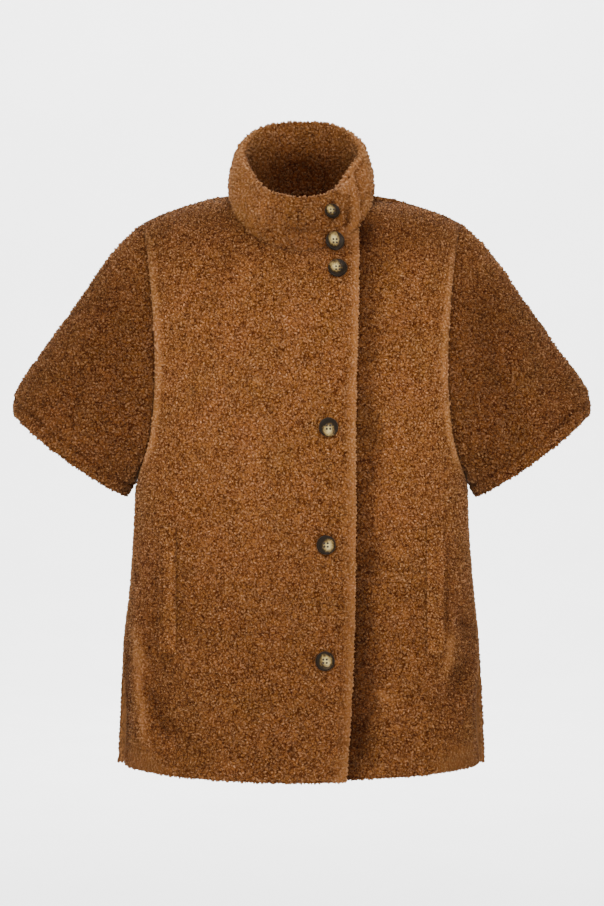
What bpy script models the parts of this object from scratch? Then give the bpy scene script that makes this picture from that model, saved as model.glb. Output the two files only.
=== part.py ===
# A short-sleeved teddy jacket with a funnel collar and a button front that laps off
# centre, filled out as if it were worn. Lengths are metres. Up is +Z, the wearer faces
# -Y, and the wearer's left arm is on +X. The origin lies midway between the shoulders,
# NECK_RISE below the two points where the shoulder seams meet the collar.

import math
from collections import namedtuple

import bmesh
import bpy
from mathutils import Matrix, Vector
from mathutils.bvhtree import BVHTree

# Sides of the body, as signs along Y
FRONT, BACK = -1, 1

# Cloth
CLOTH = 0.007             # teddy wall, backing and pile together
COLLAR_WALL = 0.018       # the collar is two layers of the same cloth
COLLAR_LAP_WALL = 0.011   # the same where its ends are pressed over each other
WELT_WALL = 0.004
SEAM_GAP = 0.0004         # between two panels that are sewn together
NECK_GAP = {FRONT: 0.0008, BACK: 0.0013}   # between the collar and the body
LAP_GAP = 0.0020          # between the upper and the under front
SEAT_GAP = 0.0003         # under a button
WELT_GAP = 0.0008         # under a welt, which bends with the cloth

# Body
SIDE_ROUND = 2.6          # 2 is an ellipse, more is squarer
UNDERARM_Z = -0.380
SHOULDER_DEPTH = {FRONT: 0.130, BACK: 0.110}
BACK_NECK_RISE = 0.075    # how far the upper back would rise in the middle of the neck
NECK_HALF_WIDTH = 0.099
NECK_RISE = 0.010         # the shoulder seams meet the collar this far above the origin
NECK_FRONT_DROP = 0.074
NECK_BACK_LIFT = 0.020
NECK_STEP = {FRONT: 10, BACK: 15}   # degrees between the neckline's points
LAP_ANGLE = 50            # where the upper end of the collar stops, past the middle
UNDER_ANGLE = 20          # where the under end stops, on the other side of the middle
UNDER_EDGE = 0.034        # how far the under front runs past the middle
UNDER_RAMP = (0.080, 0.165)   # the under front sinks beneath the lap between these
SHOULDER_COLUMNS = 5
ARMHOLE_ROWS = 14
SKIRT_ROWS = 14
EDGE_ROW = 0.010          # a row of points this close to a free edge keeps it crisp
COLUMN_BEND = 1.5         # how late on the way up the columns turn towards the shoulder
NECK_DIP = (0.22, 0.70)   # how steeply the wall leans in at the collar seam, middle and side
CORE_TOP, CORE_BELOW = -0.150, 0.020   # the body's core, which its outer faces point from
RIDGE_PROBE = 0.002       # half the length over which the shoulder's slope is taken
SHARP_ANGLE = 50          # degrees between faces past which an edge is shaded sharp

# Hem
HEM_MIDDLE = {FRONT: -0.767, BACK: -0.764}
HEM_SIDE = {FRONT: -0.754, BACK: -0.760}
HEM_HALF_WIDTH = 0.250
UNDER_HEM_LIFT = 0.002
SLIT_TOP, SLIT_FULL = -0.595, -0.680
SLIT_START = 0.75         # share of a panel's width past which the slit turns its edge
SLIT_FRONT_IN = 0.013     # the front's edge turns in at the open slit
SLIT_FRONT_TURN = 0.012
SLIT_BACK_TURN = 0.003

# Sleeves
ARMHOLE_CENTRE = Vector((0.165, 0.0, -0.210))
CUFF_TOP = Vector((0.391, 0.0, -0.284))
CUFF_BOTTOM = Vector((0.236, 0.0, -0.398))
CUFF_DEPTH = 0.076
CUFF_SAG = {FRONT: 0.006, BACK: 0.009}
CUFF_SAG_OUT = 0.3        # share of the sag by which the cuff also moves outwards
SLEEVE_ROWS = 9
SLEEVE_FULLNESS = 0.010
SLEEVE_LENGTH = 0.200

# Collar
RIM_HALF_WIDTH = 0.0925
RIM_DEPTH = {FRONT: 0.083, BACK: 0.074}
COLLAR_BULGE = 0.004
COLLAR_RAISE = 0.002
RIM_ROUND = 0.55          # how far down the rim's rounding starts, in wall widths
RIM_CORNER = (0.14, 0.10)   # the rim's shoulders lie this far in and down, in wall widths
COLLAR_ROWS = 4
LAP_BLEND = 40            # degrees over which the collar's ends are pressed and raised

# Pockets
WELT_X, WELT_WIDTH = 0.174, 0.022
WELT_TOP, WELT_BOTTOM = -0.437, -0.602
WELT_COLUMNS, WELT_ROWS = 4, 18
WELT_EDGE = 0.75          # share of its thickness that a welt keeps at its edges

# Buttons
HOLE_RADIUS, HOLE_OFFSET, HOLE_SIDES, HOLE_DEPTH = 0.0011, 0.0026, 8, 0.020
BUTTON_SIDES = 24
BUTTON_FLAT = 0.80        # share of the back that lies flat; past it the back lifts off
BUTTON_EDGE_LIFT = 0.0010
BUTTON_RIM, BUTTON_DISH = 0.0042, 0.0029   # heights of the raised rim and the middle
BUTTON_PROBES = 16        # places round a button where the cloth under it is felt
BUTTON_LEANS = range(-30, 31, 2)   # degrees, up and down, that a button may lean
BUTTON_SWINGS = range(-4, 32, 2)   # degrees that it may turn towards the wearer's left

Section = namedtuple("Section", "z half_width front back")
TORSO = (
    Section(-0.800, 0.2515, 0.129, 0.122),
    Section(-0.700, 0.2475, 0.129, 0.121),
    Section(-0.600, 0.2415, 0.128, 0.119),
    Section(-0.520, 0.2330, 0.127, 0.117),
    Section(-0.450, 0.2270, 0.126, 0.116),
    Section(-0.380, 0.2245, 0.125, 0.115),
    Section(-0.250, 0.2245, 0.123, 0.114),
    Section(-0.150, 0.2245, 0.115, 0.108),
    Section(-0.075, 0.2245, 0.101, 0.097),
    Section(0.060, 0.2245, 0.090, 0.085),
)

Ridge = namedtuple("Ridge", "x z")
SHOULDER = (
    Ridge(0.099, NECK_RISE),
    Ridge(0.117, 0.0085),
    Ridge(0.142, 0.001),
    Ridge(0.165, -0.006),
    Ridge(0.192, -0.015),
    Ridge(0.216, -0.027),
)

Edge = namedtuple("Edge", "z x")
ARMHOLE = (
    Edge(-0.380, 0.2245),
    Edge(-0.368, 0.2190),
    Edge(-0.356, 0.2130),
    Edge(-0.323, 0.2020),
    Edge(-0.283, 0.1965),
    Edge(-0.244, 0.1940),
    Edge(-0.191, 0.1950),
    Edge(-0.138, 0.1990),
    Edge(-0.088, 0.2045),
    Edge(-0.050, 0.2110),
    Edge(-0.027, 0.2160),
)
LAP = (
    Edge(-0.780, 0.0570),
    Edge(-0.700, 0.0630),
    Edge(-0.600, 0.0680),
    Edge(-0.470, 0.0705),
    Edge(-0.270, 0.0710),
    Edge(-0.150, 0.0745),
    Edge(-0.040, 0.0758),
)

Top = namedtuple("Top", "along x z")
SLEEVE_TOP = (
    Top(0.00, 0.2160, -0.027),
    Top(0.10, 0.2410, -0.047),
    Top(0.22, 0.2680, -0.080),
    Top(0.36, 0.2960, -0.118),
    Top(0.52, 0.3250, -0.159),
    Top(0.68, 0.3520, -0.199),
    Top(0.84, 0.3815, -0.238),
    Top(0.93, 0.3940, -0.261),
    Top(1.00, 0.3910, -0.284),
)

Rim = namedtuple("Rim", "angle z")
COLLAR_RIM = (
    Rim(0, -0.003),
    Rim(20, 0.002),
    Rim(35, 0.012),
    Rim(50, 0.030),
    Rim(65, 0.050),
    Rim(90, 0.071),
    Rim(115, 0.094),
    Rim(135, 0.111),
    Rim(155, 0.120),
    Rim(180, 0.122),
)

# Folds run between two places on a piece. A ridge stands out and a trough goes in.
# Each fades out past its two ends, by a rise and a slope in shares of its length.
FADE_RISE, FADE_SLOPE = 1.35, 1.7
Fold = namedtuple("Fold", "x1 z1 x2 z2 width out")
FRONT_FOLDS = (
    Fold(-0.222, -0.560, -0.208, -0.600, 0.016, 0.004),
    Fold(-0.226, -0.620, -0.206, -0.690, 0.015, 0.006),
    Fold(-0.196, -0.630, -0.160, -0.710, 0.018, -0.009),
    Fold(-0.205, -0.440, -0.208, -0.540, 0.018, -0.004),
    Fold(-0.120, -0.200, -0.150, -0.330, 0.026, 0.003),
    Fold(-0.060, -0.520, -0.090, -0.740, 0.030, 0.004),
    Fold(0.208, -0.545, 0.222, -0.590, 0.014, -0.006),
    Fold(0.224, -0.600, 0.176, -0.665, 0.016, -0.008),
    Fold(0.150, -0.600, 0.160, -0.670, 0.018, 0.005),
    Fold(0.080, -0.625, 0.135, -0.665, 0.016, 0.005),
    Fold(0.110, -0.400, 0.128, -0.600, 0.030, 0.003),
    Fold(0.150, -0.130, 0.172, -0.300, 0.024, -0.004),
)
BACK_FOLDS = (
    Fold(-0.080, -0.360, -0.110, -0.740, 0.030, 0.006),
    Fold(0.070, -0.420, 0.096, -0.750, 0.028, -0.007),
    Fold(0.150, -0.130, 0.176, -0.330, 0.024, -0.005),
    Fold(-0.156, -0.140, -0.172, -0.320, 0.022, -0.005),
    Fold(-0.215, -0.560, -0.170, -0.640, 0.016, -0.008),
    Fold(0.205, -0.590, 0.160, -0.690, 0.014, -0.008),
)
SLEEVE_RIGHT_FOLDS = (
    Fold(-0.270, -0.200, -0.306, -0.300, 0.015, -0.009),
    Fold(-0.250, -0.210, -0.284, -0.330, 0.013, 0.006),
    Fold(-0.226, -0.110, -0.250, -0.250, 0.018, -0.005),
)
SLEEVE_LEFT_FOLDS = (
    Fold(0.232, -0.125, 0.276, -0.280, 0.017, -0.010),
    Fold(0.262, -0.150, 0.312, -0.300, 0.015, 0.006),
    Fold(0.330, -0.215, 0.345, -0.300, 0.016, -0.005),
)

Button = namedtuple("Button", "name x z radius")
BUTTONS = (
    Button("button_1", 0.0400, -0.0225, 0.0100),
    Button("button_2", 0.0433, -0.0620, 0.0125),
    Button("button_3", 0.0472, -0.0990, 0.0125),
    Button("button_4", 0.0349, -0.3065, 0.0125),
    Button("button_5", 0.0317, -0.4590, 0.0125),
    Button("button_6", 0.0304, -0.6090, 0.0125),
)

# Colours, as linear red, green and blue
TEDDY = {"name": "teddy_cloth", "colour": (0.205, 0.074, 0.019), "roughness": 0.95}
HORN = {"name": "horn_button", "colour": (0.045, 0.026, 0.014), "roughness": 0.32}


def clear_scene():
    for old in list(bpy.data.objects):
        bpy.data.objects.remove(old, do_unlink=True)


def material(look):
    made = bpy.data.materials.get(look["name"]) or bpy.data.materials.new(look["name"])
    made.use_nodes = True
    shader = made.node_tree.nodes["Principled BSDF"]
    shader.inputs["Base Color"].default_value = (*look["colour"], 1.0)
    shader.inputs["Roughness"].default_value = look["roughness"]
    shader.inputs["Metallic"].default_value = 0.0
    return made


def smooth(value):
    value = min(1.0, max(0.0, value))
    return value * value * (3.0 - 2.0 * value)


def read(rows, key, at, column):
    """One named column of a table, on a smooth curve through its rows."""
    keys = [getattr(row, key) for row in rows]
    values = [getattr(row, column) for row in rows]
    if at <= keys[0]:
        return values[0]
    if at >= keys[-1]:
        return values[-1]
    i = max(k for k in range(len(keys) - 1) if keys[k] <= at)
    step = keys[i + 1] - keys[i]
    here = (values[i + 1] - values[i]) / step
    before = (values[i] - values[i - 1]) / (keys[i] - keys[i - 1]) if i else here
    last = i + 2 >= len(keys)
    after = here if last else (values[i + 2] - values[i + 1]) / (keys[i + 2] - keys[i + 1])
    t = (at - keys[i]) / step
    start, end = (before + here) / 2 * step, (here + after) / 2 * step
    rise = values[i + 1] - values[i]
    return (values[i] + start * t + (3 * rise - 2 * start - end) * t * t
            + (start + end - 2 * rise) * t ** 3)


def ridge(x, side):
    """Height of the shoulder line. Between the neck points it is cut away later."""
    x = abs(x)
    if x >= NECK_HALF_WIDTH:
        return read(SHOULDER, "x", x, "z")
    outward = (x / NECK_HALF_WIDTH) ** 2
    if side == FRONT:
        return NECK_RISE * outward
    return NECK_RISE * outward + BACK_NECK_RISE * (1 - outward)


def body_y(x, z, side):
    """How far the front or back of the body stands out at a place."""
    width = read(TORSO, "z", z, "half_width")
    depth = read(TORSO, "z", z, "front" if side == FRONT else "back")
    out = max(0.0, 1 - (abs(x) / width) ** SIDE_ROUND) ** (1 / SIDE_ROUND)
    drop = min(1.0, max(0.0, (ridge(x, side) - z) / SHOULDER_DEPTH[side]))
    return side * depth * out * math.sqrt(1 - (1 - drop) ** 2)


def section(z, side, steps=48):
    """Half of a level section, from the middle to the side seam, with lengths so far."""
    width = read(TORSO, "z", z, "half_width")
    line, total, last = [], 0.0, None
    for step in range(steps + 1):
        x = width * math.sin(math.pi / 2 * step / steps) ** (2 / SIDE_ROUND)
        point = Vector((x, body_y(x, z, side)))
        if last is not None:
            total += (point - last).length
        line.append((total, x))
        last = point
    return line


def length_at(line, x):
    if x < 0:
        return -length_at(line, -x)
    for (s1, x1), (s2, x2) in zip(line, line[1:]):
        if x <= x2:
            return s1 + (s2 - s1) * (x - x1) / max(x2 - x1, 1e-9)
    return line[-1][0]


def x_at(line, length):
    if length < 0:
        return -x_at(line, -length)
    for (s1, x1), (s2, x2) in zip(line, line[1:]):
        if length <= s2:
            return x1 + (x2 - x1) * (length - s1) / max(s2 - s1, 1e-9)
    return line[-1][1]


def neckline(angle, side):
    """A point of the collar seam; the angle is 0 in the middle and 90 at the shoulder."""
    turn = math.radians(angle)
    x = NECK_HALF_WIDTH * math.sin(turn)
    z = NECK_RISE * math.sin(turn) ** 2
    if side == FRONT:
        z -= NECK_FRONT_DROP * math.cos(turn)
    else:
        z += NECK_BACK_LIFT * math.cos(turn) ** 2
    return Vector((x, body_y(x, z, side), z))


def neck_inward(angle, side):
    """Direction through the wall at the collar seam, and the way up across that seam."""
    turn = math.radians(angle)
    flat = Vector((-math.sin(turn), -side * math.cos(turn), 0.0))
    dip = NECK_DIP[0] + (NECK_DIP[1] - NECK_DIP[0]) * math.sin(turn) ** 2
    level = math.sqrt(1 - dip * dip)
    inward = flat * level - Vector((0, 0, dip))
    upward = flat * dip + Vector((0, 0, level))
    return inward, upward


def armhole_inward(point, hand):
    centre = Vector((hand * ARMHOLE_CENTRE.x, ARMHOLE_CENTRE.y, ARMHOLE_CENTRE.z))
    return (centre - point).normalized()


def armhole_share(row):
    """Rows are a little closer together at the underarm and at the shoulder."""
    even = row / ARMHOLE_ROWS
    return (even + (1 - math.cos(math.pi * even)) / 2) / 2


def armhole_point(row, side, hand):
    tip = SHOULDER[-1].z
    z = UNDERARM_Z + (tip - UNDERARM_Z) * armhole_share(row)
    x = read(ARMHOLE, "z", z, "x")
    y = 0.0 if row in (0, ARMHOLE_ROWS) else body_y(x, z, side)
    return Vector((hand * x, y, z))


def under_share(x):
    """1 where the under front lies beneath the lap, 0 where both fronts are one height."""
    return 1 - smooth((x - UNDER_RAMP[0]) / (UNDER_RAMP[1] - UNDER_RAMP[0]))


def hem_z(x, side, lift):
    middle = HEM_MIDDLE[side]
    outward = min(1.0, abs(x) / HEM_HALF_WIDTH)
    return middle + (HEM_SIDE[side] - middle) * outward ** 2 + lift


def half_panel(side, hand, start_angle, inner_x, lift=0.0):
    """Outer points of one half of the body, in columns from the middle to the side.

    A column runs from the hem to the top. Each point comes with the kind of place it is
    at, so that the wall can be given the same direction on both sides of a seam.
    """
    step = NECK_STEP[side]
    angles = [start_angle + step * k for k in range((90 - start_angle) // step + 1)]
    tops = [(neckline(a, side), ("neck", a)) for a in angles]
    neck_x, tip_x = NECK_HALF_WIDTH, SHOULDER[-1].x
    for k in range(1, SHOULDER_COLUMNS + 1):
        x = neck_x + (tip_x - neck_x) * k / SHOULDER_COLUMNS
        tops.append((Vector((x, 0.0, ridge(x, side))), ("shoulder", x)))

    count = len(tops) - 1
    columns = []
    for j, (top, place) in enumerate(tops):
        share = j / count
        column = []
        for row in skirt_rows(inner_x(UNDERARM_Z), side, lift):
            column.append(skirt_point(row, share, side, inner_x, lift))
        for i in range(1, ARMHOLE_ROWS + 1):
            t = armhole_share(i)
            if j == count:
                point = armhole_point(i, side, 1)
                column.append((point, ("armhole", i)))
                continue
            z = UNDERARM_Z + (top.z - UNDERARM_Z) * t
            x = chest_x(z, t, share, side, inner_x)
            last = chest_x(top.z, 1.0, share, side, inner_x)
            x += (top.x - last) * t ** COLUMN_BEND
            y = body_y(x, z, side)
            column.append((Vector((x, y, z)), place if i == ARMHOLE_ROWS else ("cloth", 0)))
        columns.append(column)

    for column in columns:
        for k, (point, place) in enumerate(column):
            column[k] = (Vector((hand * point.x, point.y, point.z)), place)
    return columns


def skirt_rows(inner, side, lift):
    """Rows below the underarm, as shares of the way up, with one close to the hem."""
    height = UNDERARM_Z - hem_z(inner, side, lift)
    first = EDGE_ROW / height
    even = [first + (1 - first) * k / SKIRT_ROWS for k in range(SKIRT_ROWS + 1)]
    return [0.0] + even


def skirt_point(row, share, side, inner_x, lift):
    """A point below the underarm, spaced evenly along the level section."""
    z = UNDERARM_Z
    x = inner_x(z)
    for _ in range(2):
        hem = hem_z(x, side, lift)
        z = hem + (UNDERARM_Z - hem) * row
        line = section(z, side)
        start = length_at(line, inner_x(z))
        x = x_at(line, start + (line[-1][0] - start) * share)
    point = Vector((x, body_y(x, z, side), z))
    if share < 1:
        return slit_turn(point, share, side), ("cloth", 0)
    if row == 1.0:
        return Vector((x, 0.0, UNDERARM_Z)), ("armhole", 0)
    point.y = 0.0
    return slit_turn(point, share, side), ("side", z)


def slit_turn(point, share, side):
    """Below the top of the side slit the front's edge turns in and the back's stays out."""
    opened = smooth((SLIT_TOP - point.z) / (SLIT_TOP - SLIT_FULL))
    opened *= smooth((share - SLIT_START) / (1 - SLIT_START))
    if side == FRONT:
        return point + Vector((-SLIT_FRONT_IN, -SLIT_FRONT_TURN, 0)) * opened
    return point + Vector((0, SLIT_BACK_TURN, 0)) * opened


def chest_x(z, t, share, side, inner_x):
    """The even spacing of a column between the front edge and the armhole."""
    line = section(z, side)
    outer_z = UNDERARM_Z + (SHOULDER[-1].z - UNDERARM_Z) * t
    start = length_at(line, inner_x(z))
    end = length_at(line, read(ARMHOLE, "z", outer_z, "x"))
    return x_at(line, start + (end - start) * share)


def fold_out(folds, point):
    """How far the folds move a point out of the cloth's surface."""
    out = 0.0
    place = Vector((point.x, point.z))
    for fold in folds:
        start = Vector((fold.x1, fold.z1))
        along = Vector((fold.x2, fold.z2)) - start
        t = (place - start).dot(along) / along.length_squared
        near = start + along * min(1.0, max(0.0, t))
        away = (place - near).length / fold.width
        fade = smooth(FADE_RISE - abs(t - 0.5) * FADE_SLOPE)
        out += fold.out * math.exp(-away * away) * fade
    return out


def grid_normals(grid, outward):
    """Normals of a grid of points, all on the side that the outward function gives."""
    normals = []
    for j in range(len(grid)):
        row = []
        for i in range(len(grid[0])):
            a = grid[min(j + 1, len(grid) - 1)][i] - grid[max(j - 1, 0)][i]
            b = grid[j][min(i + 1, len(grid[0]) - 1)] - grid[j][max(i - 1, 0)]
            normal = a.cross(b)
            if normal.length < 1e-12:
                normal = outward(grid[j][i])
            normal.normalize()
            if normal.dot(outward(grid[j][i])) < 0:
                normal = -normal
            row.append(normal)
        normals.append(row)
    return normals


def body_outward(point):
    return point - Vector((0, 0, min(point.z - CORE_BELOW, CORE_TOP)))


def wall_direction(place, point, normal, side):
    """Direction from the outer to the inner face of the wall at a point of the body."""
    kind, value = place
    hand = 1 if point.x > 0 else -1
    if kind == "neck":
        inward, _ = neck_inward(value, side)
        return Vector((hand_of_angle(point, value) * inward.x, inward.y, inward.z))
    if kind == "shoulder":
        rise = ridge(value + RIDGE_PROBE, side) - ridge(value - RIDGE_PROBE, side)
        slope = rise / (2 * RIDGE_PROBE)
        return Vector((hand * slope, 0.0, -1.0)).normalized()
    if kind == "armhole":
        return armhole_inward(point, hand)
    if kind == "side" and point.z > SLIT_TOP:
        return Vector((-hand, 0.0, 0.0))
    return -normal


def hand_of_angle(point, angle):
    if abs(angle) < 1e-6:
        return 1
    return math.copysign(1, point.x) * math.copysign(1, angle)


def close_wall(name, outer, inner, look, ring=False):
    """One closed solid between an outer and an inner grid of points.

    Both faces are split along the same diagonals, so that a piece laid on them fits.
    """
    columns, rows = len(outer), len(outer[0])
    mesh = bmesh.new()
    out = [[mesh.verts.new(point) for point in column] for column in outer]
    into = [[mesh.verts.new(point) for point in column] for column in inner]
    spans = columns if ring else columns - 1
    for j in range(spans):
        k = (j + 1) % columns
        for i in range(rows - 1):
            mesh.faces.new((out[j][i], out[k][i], out[k][i + 1]))
            mesh.faces.new((out[j][i], out[k][i + 1], out[j][i + 1]))
            mesh.faces.new((into[j][i], into[k][i + 1], into[k][i]))
            mesh.faces.new((into[j][i], into[j][i + 1], into[k][i + 1]))
        mesh.faces.new((out[j][0], into[j][0], into[k][0], out[k][0]))
        mesh.faces.new((out[j][-1], out[k][-1], into[k][-1], into[j][-1]))
    if not ring:
        for i in range(rows - 1):
            mesh.faces.new((out[0][i], out[0][i + 1], into[0][i + 1], into[0][i]))
            mesh.faces.new((out[-1][i], into[-1][i], into[-1][i + 1], out[-1][i + 1]))
    finish(name, mesh, look)


def finish(name, mesh, look):
    bmesh.ops.recalc_face_normals(mesh, faces=mesh.faces)
    if mesh.calc_volume(signed=True) < 0:
        bmesh.ops.reverse_faces(mesh, faces=mesh.faces)
    data = bpy.data.meshes.new(name)
    mesh.to_mesh(data)
    mesh.free()
    data.shade_smooth()
    data.set_sharp_from_angle(angle=math.radians(SHARP_ANGLE))
    data.materials.append(material(look))
    made = bpy.data.objects.new(name, data)
    bpy.context.scene.collection.objects.link(made)
    return made


def panel(name, side, columns, folds, sink=None):
    """A body panel: folds laid into its outer points, then the wall inside them."""
    points = [[point.copy() for point, _ in column] for column in columns]
    normals = grid_normals(points, body_outward)
    last = len(columns) - 1
    outer, inner = [], []
    for j, column in enumerate(columns):
        seam_side = min(1.0, (last - j) / 2)
        if side == BACK:
            seam_side = min(seam_side, j / 2, 1.0)
        out_column, in_column = [], []
        for i, (point, place) in enumerate(column):
            normal = normals[j][i]
            kind = place[0]
            inward = wall_direction(place, point, normal, side)
            rows_below_top = len(column) - 1 - i
            ease = 0.0 if kind in ("neck", "shoulder", "armhole", "side") else 1.0
            ease *= seam_side if point.z > SLIT_TOP else 1.0
            ease *= min(1.0, rows_below_top / 2)
            moved = point + normal * fold_out(folds, point) * ease
            if sink:
                moved += inward * sink(point.x)
            if kind in ("shoulder", "armhole", "side"):
                moved.y += side * SEAM_GAP / 2
            out_column.append(moved)
            in_column.append(moved + inward * CLOTH)
        outer.append(out_column)
        inner.append(in_column)
    close_wall(name, outer, inner, TEDDY)
    return outer


def make_fronts():
    right = half_panel(FRONT, -1, -LAP_ANGLE, lambda z: -read(LAP, "z", z, "x"))
    outer_right = panel("front_right", FRONT, right, FRONT_FOLDS)
    left = half_panel(FRONT, 1, -UNDER_ANGLE, lambda z: -UNDER_EDGE, UNDER_HEM_LIFT)
    sink = CLOTH + LAP_GAP
    outer_left = panel("front_left", FRONT, left, FRONT_FOLDS,
                       lambda x: sink * under_share(x))
    return outer_right, outer_left


def make_back():
    half = half_panel(BACK, 1, 0, lambda z: 0.0)
    mirrored = half_panel(BACK, -1, 0, lambda z: 0.0)
    columns = mirrored[:0:-1] + half
    panel("back", BACK, columns, BACK_FOLDS)


def sleeve_ring(hand):
    """Places round the armhole, from the underarm up the front and down the back."""
    front = [(row, FRONT) for row in range(ARMHOLE_ROWS + 1)]
    back = [(row, BACK) for row in range(ARMHOLE_ROWS - 1, 0, -1)]
    return [(armhole_point(row, side, hand), row, side) for row, side in front + back]


def cuff_point(row, side, hand):
    turn = math.pi * row / ARMHOLE_ROWS
    share = (1 - math.cos(turn)) / 2
    point = CUFF_BOTTOM.lerp(CUFF_TOP, share)
    hang = CUFF_SAG[side] * math.sin(turn)
    point.y = side * CUFF_DEPTH * math.sin(turn)
    point.z -= hang
    point.x += CUFF_SAG_OUT * hang
    return Vector((hand * point.x, point.y, point.z))


def make_sleeve(name, hand, folds):
    shares = [k / SLEEVE_ROWS for k in range(SLEEVE_ROWS)]
    shares += [1 - EDGE_ROW / SLEEVE_LENGTH, 1.0]
    start_line = Vector((SLEEVE_TOP[0].x, 0, SLEEVE_TOP[0].z))
    end_line = Vector((SLEEVE_TOP[-1].x, 0, SLEEVE_TOP[-1].z))
    base = []
    for seam, row, side in sleeve_ring(hand):
        cuff = cuff_point(row, side, hand)
        upper = (row / ARMHOLE_ROWS) ** 2
        full = math.sin(math.pi * row / ARMHOLE_ROWS)
        column = []
        for share in shares:
            crest = Vector((read(SLEEVE_TOP, "along", share, "x"), 0,
                            read(SLEEVE_TOP, "along", share, "z")))
            extra = crest - start_line.lerp(end_line, share)
            point = seam.lerp(cuff, share)
            point += Vector((hand * extra.x, 0, extra.z)) * upper
            point.y += side * SLEEVE_FULLNESS * full * math.sin(math.pi * share)
            column.append(point)
        base.append(column)

    count = len(base)
    axis = [sum((column[i] for column in base), Vector()) / count for i in range(len(shares))]
    outer, inner = [], []
    for j, (seam, row, side) in enumerate(sleeve_ring(hand)):
        out_column, in_column = [], []
        for i, share in enumerate(shares):
            point = base[j][i]
            around = base[(j + 1) % count][i] - base[j - 1][i]
            last = len(shares) - 1
            along = base[j][min(i + 1, last)] - base[j][max(i - 1, 0)]
            normal = around.cross(along).normalized()
            if normal.dot(point - axis[i]) < 0:
                normal = -normal
            if i == 0:
                moved = point + Vector((hand * SEAM_GAP, 0, 0))
                inward = armhole_inward(seam, hand)
            else:
                ease = min(1.0, i / 2)
                moved = point + normal * fold_out(folds, point) * ease
                inward = -normal
            if i == 1:
                inward = (armhole_inward(seam, hand) - normal).normalized()
            out_column.append(moved)
            in_column.append(moved + inward * CLOTH)
        outer.append(out_column)
        inner.append(in_column)
    close_wall(name, outer, inner, TEDDY, ring=True)


def rim_point(turn, side):
    angle = abs(turn)
    sine = math.sin(math.radians(turn))
    cosine = abs(math.cos(math.radians(turn)))
    return Vector((RIM_HALF_WIDTH * sine, side * RIM_DEPTH[side] * cosine,
                   read(COLLAR_RIM, "angle", angle, "z")))


def make_collar():
    """One strip round the neck. It starts beneath the lap and ends on top of it."""
    front, back = NECK_STEP[FRONT], NECK_STEP[BACK]
    turns = list(range(-UNDER_ANGLE, 90, front))
    turns += list(range(90, 270, back))
    turns += list(range(270, 360 + LAP_ANGLE + 1, front))
    outer, inner, crest = [], [], []
    for turn in turns:
        folded = (turn + 180) % 360 - 180
        side = FRONT if abs(folded) <= 90 else BACK
        off_middle = folded if side == FRONT else math.copysign(180 - abs(folded), folded)
        seam = neckline(off_middle, side)
        inward, upward = neck_inward(off_middle, side)
        level = Vector((inward.x, inward.y, 0)).normalized()
        rim = rim_point(folded, side)
        beneath = 1 - smooth((turn - LAP_ANGLE) / LAP_BLEND)
        above = smooth((turn - (360 - UNDER_ANGLE - LAP_BLEND)) / LAP_BLEND)
        wall = COLLAR_WALL + (COLLAR_LAP_WALL - COLLAR_WALL) * max(beneath, above)
        sink = beneath * (COLLAR_LAP_WALL + NECK_GAP[FRONT]) - above * COLLAR_RAISE
        foot = seam + upward * NECK_GAP[side] + inward * sink
        top = rim + level * sink
        out_column, in_column = [], []
        for row in range(COLLAR_ROWS + 1):
            share = row / COLLAR_ROWS
            end = top - Vector((0, 0, RIM_ROUND * wall))
            point = foot.lerp(end, share) - level * COLLAR_BULGE * math.sin(math.pi * share)
            way = inward.lerp(level, smooth(share * 2)).normalized()
            out_column.append(point)
            in_column.append(point + way * wall)
        aside, down = (share * wall for share in RIM_CORNER)
        out_column.append(top + level * aside - Vector((0, 0, down)))
        in_column.append(top + level * (wall - aside) - Vector((0, 0, down)))
        outer.append(out_column)
        inner.append(in_column)
        crest.append(top + level * wall / 2)
    close_collar(outer, inner, crest)
    return outer


def close_collar(outer, inner, crest):
    """The collar's loop of points at each place is its outside, its rim and its inside."""
    mesh = bmesh.new()
    loops = []
    for out_column, in_column, top in zip(outer, inner, crest):
        points = out_column + [top] + in_column[::-1]
        loops.append([mesh.verts.new(point) for point in points])
    size = len(loops[0])
    for a, b in zip(loops, loops[1:]):
        for i in range(size):
            k = (i + 1) % size
            mesh.faces.new((a[i], b[i], b[k], a[k]))
    for loop in (loops[0], loops[-1]):
        half = len(outer[0])
        for i in range(half - 1):
            mesh.faces.new((loop[i], loop[i + 1], loop[size - 2 - i], loop[size - 1 - i]))
        mesh.faces.new((loop[half - 1], loop[half], loop[half + 1]))
    finish("collar", mesh, TEDDY)


def surface_tree(outer):
    """The outer points of a panel as a surface that other pieces can be laid on."""
    rows = len(outer[0])
    points = [point for column in outer for point in column]
    faces = []
    for j in range(len(outer) - 1):
        for i in range(rows - 1):
            a, b = j * rows + i, (j + 1) * rows + i
            faces += [(a, b, b + 1), (a, b + 1, a + 1)]
    return BVHTree.FromPolygons(points, faces)


def place_on(trees, x, z):
    """The foremost point of the given surfaces at a place seen from the front."""
    hits = [tree.ray_cast(Vector((x, -1.0, z)), Vector((0, 1, 0))) for tree in trees]
    found = [(hit[0], hit[1]) for hit in hits if hit[0] is not None]
    point, normal = min(found, key=lambda item: item[0].y)
    return point, normal if normal.y < 0 else -normal


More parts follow.
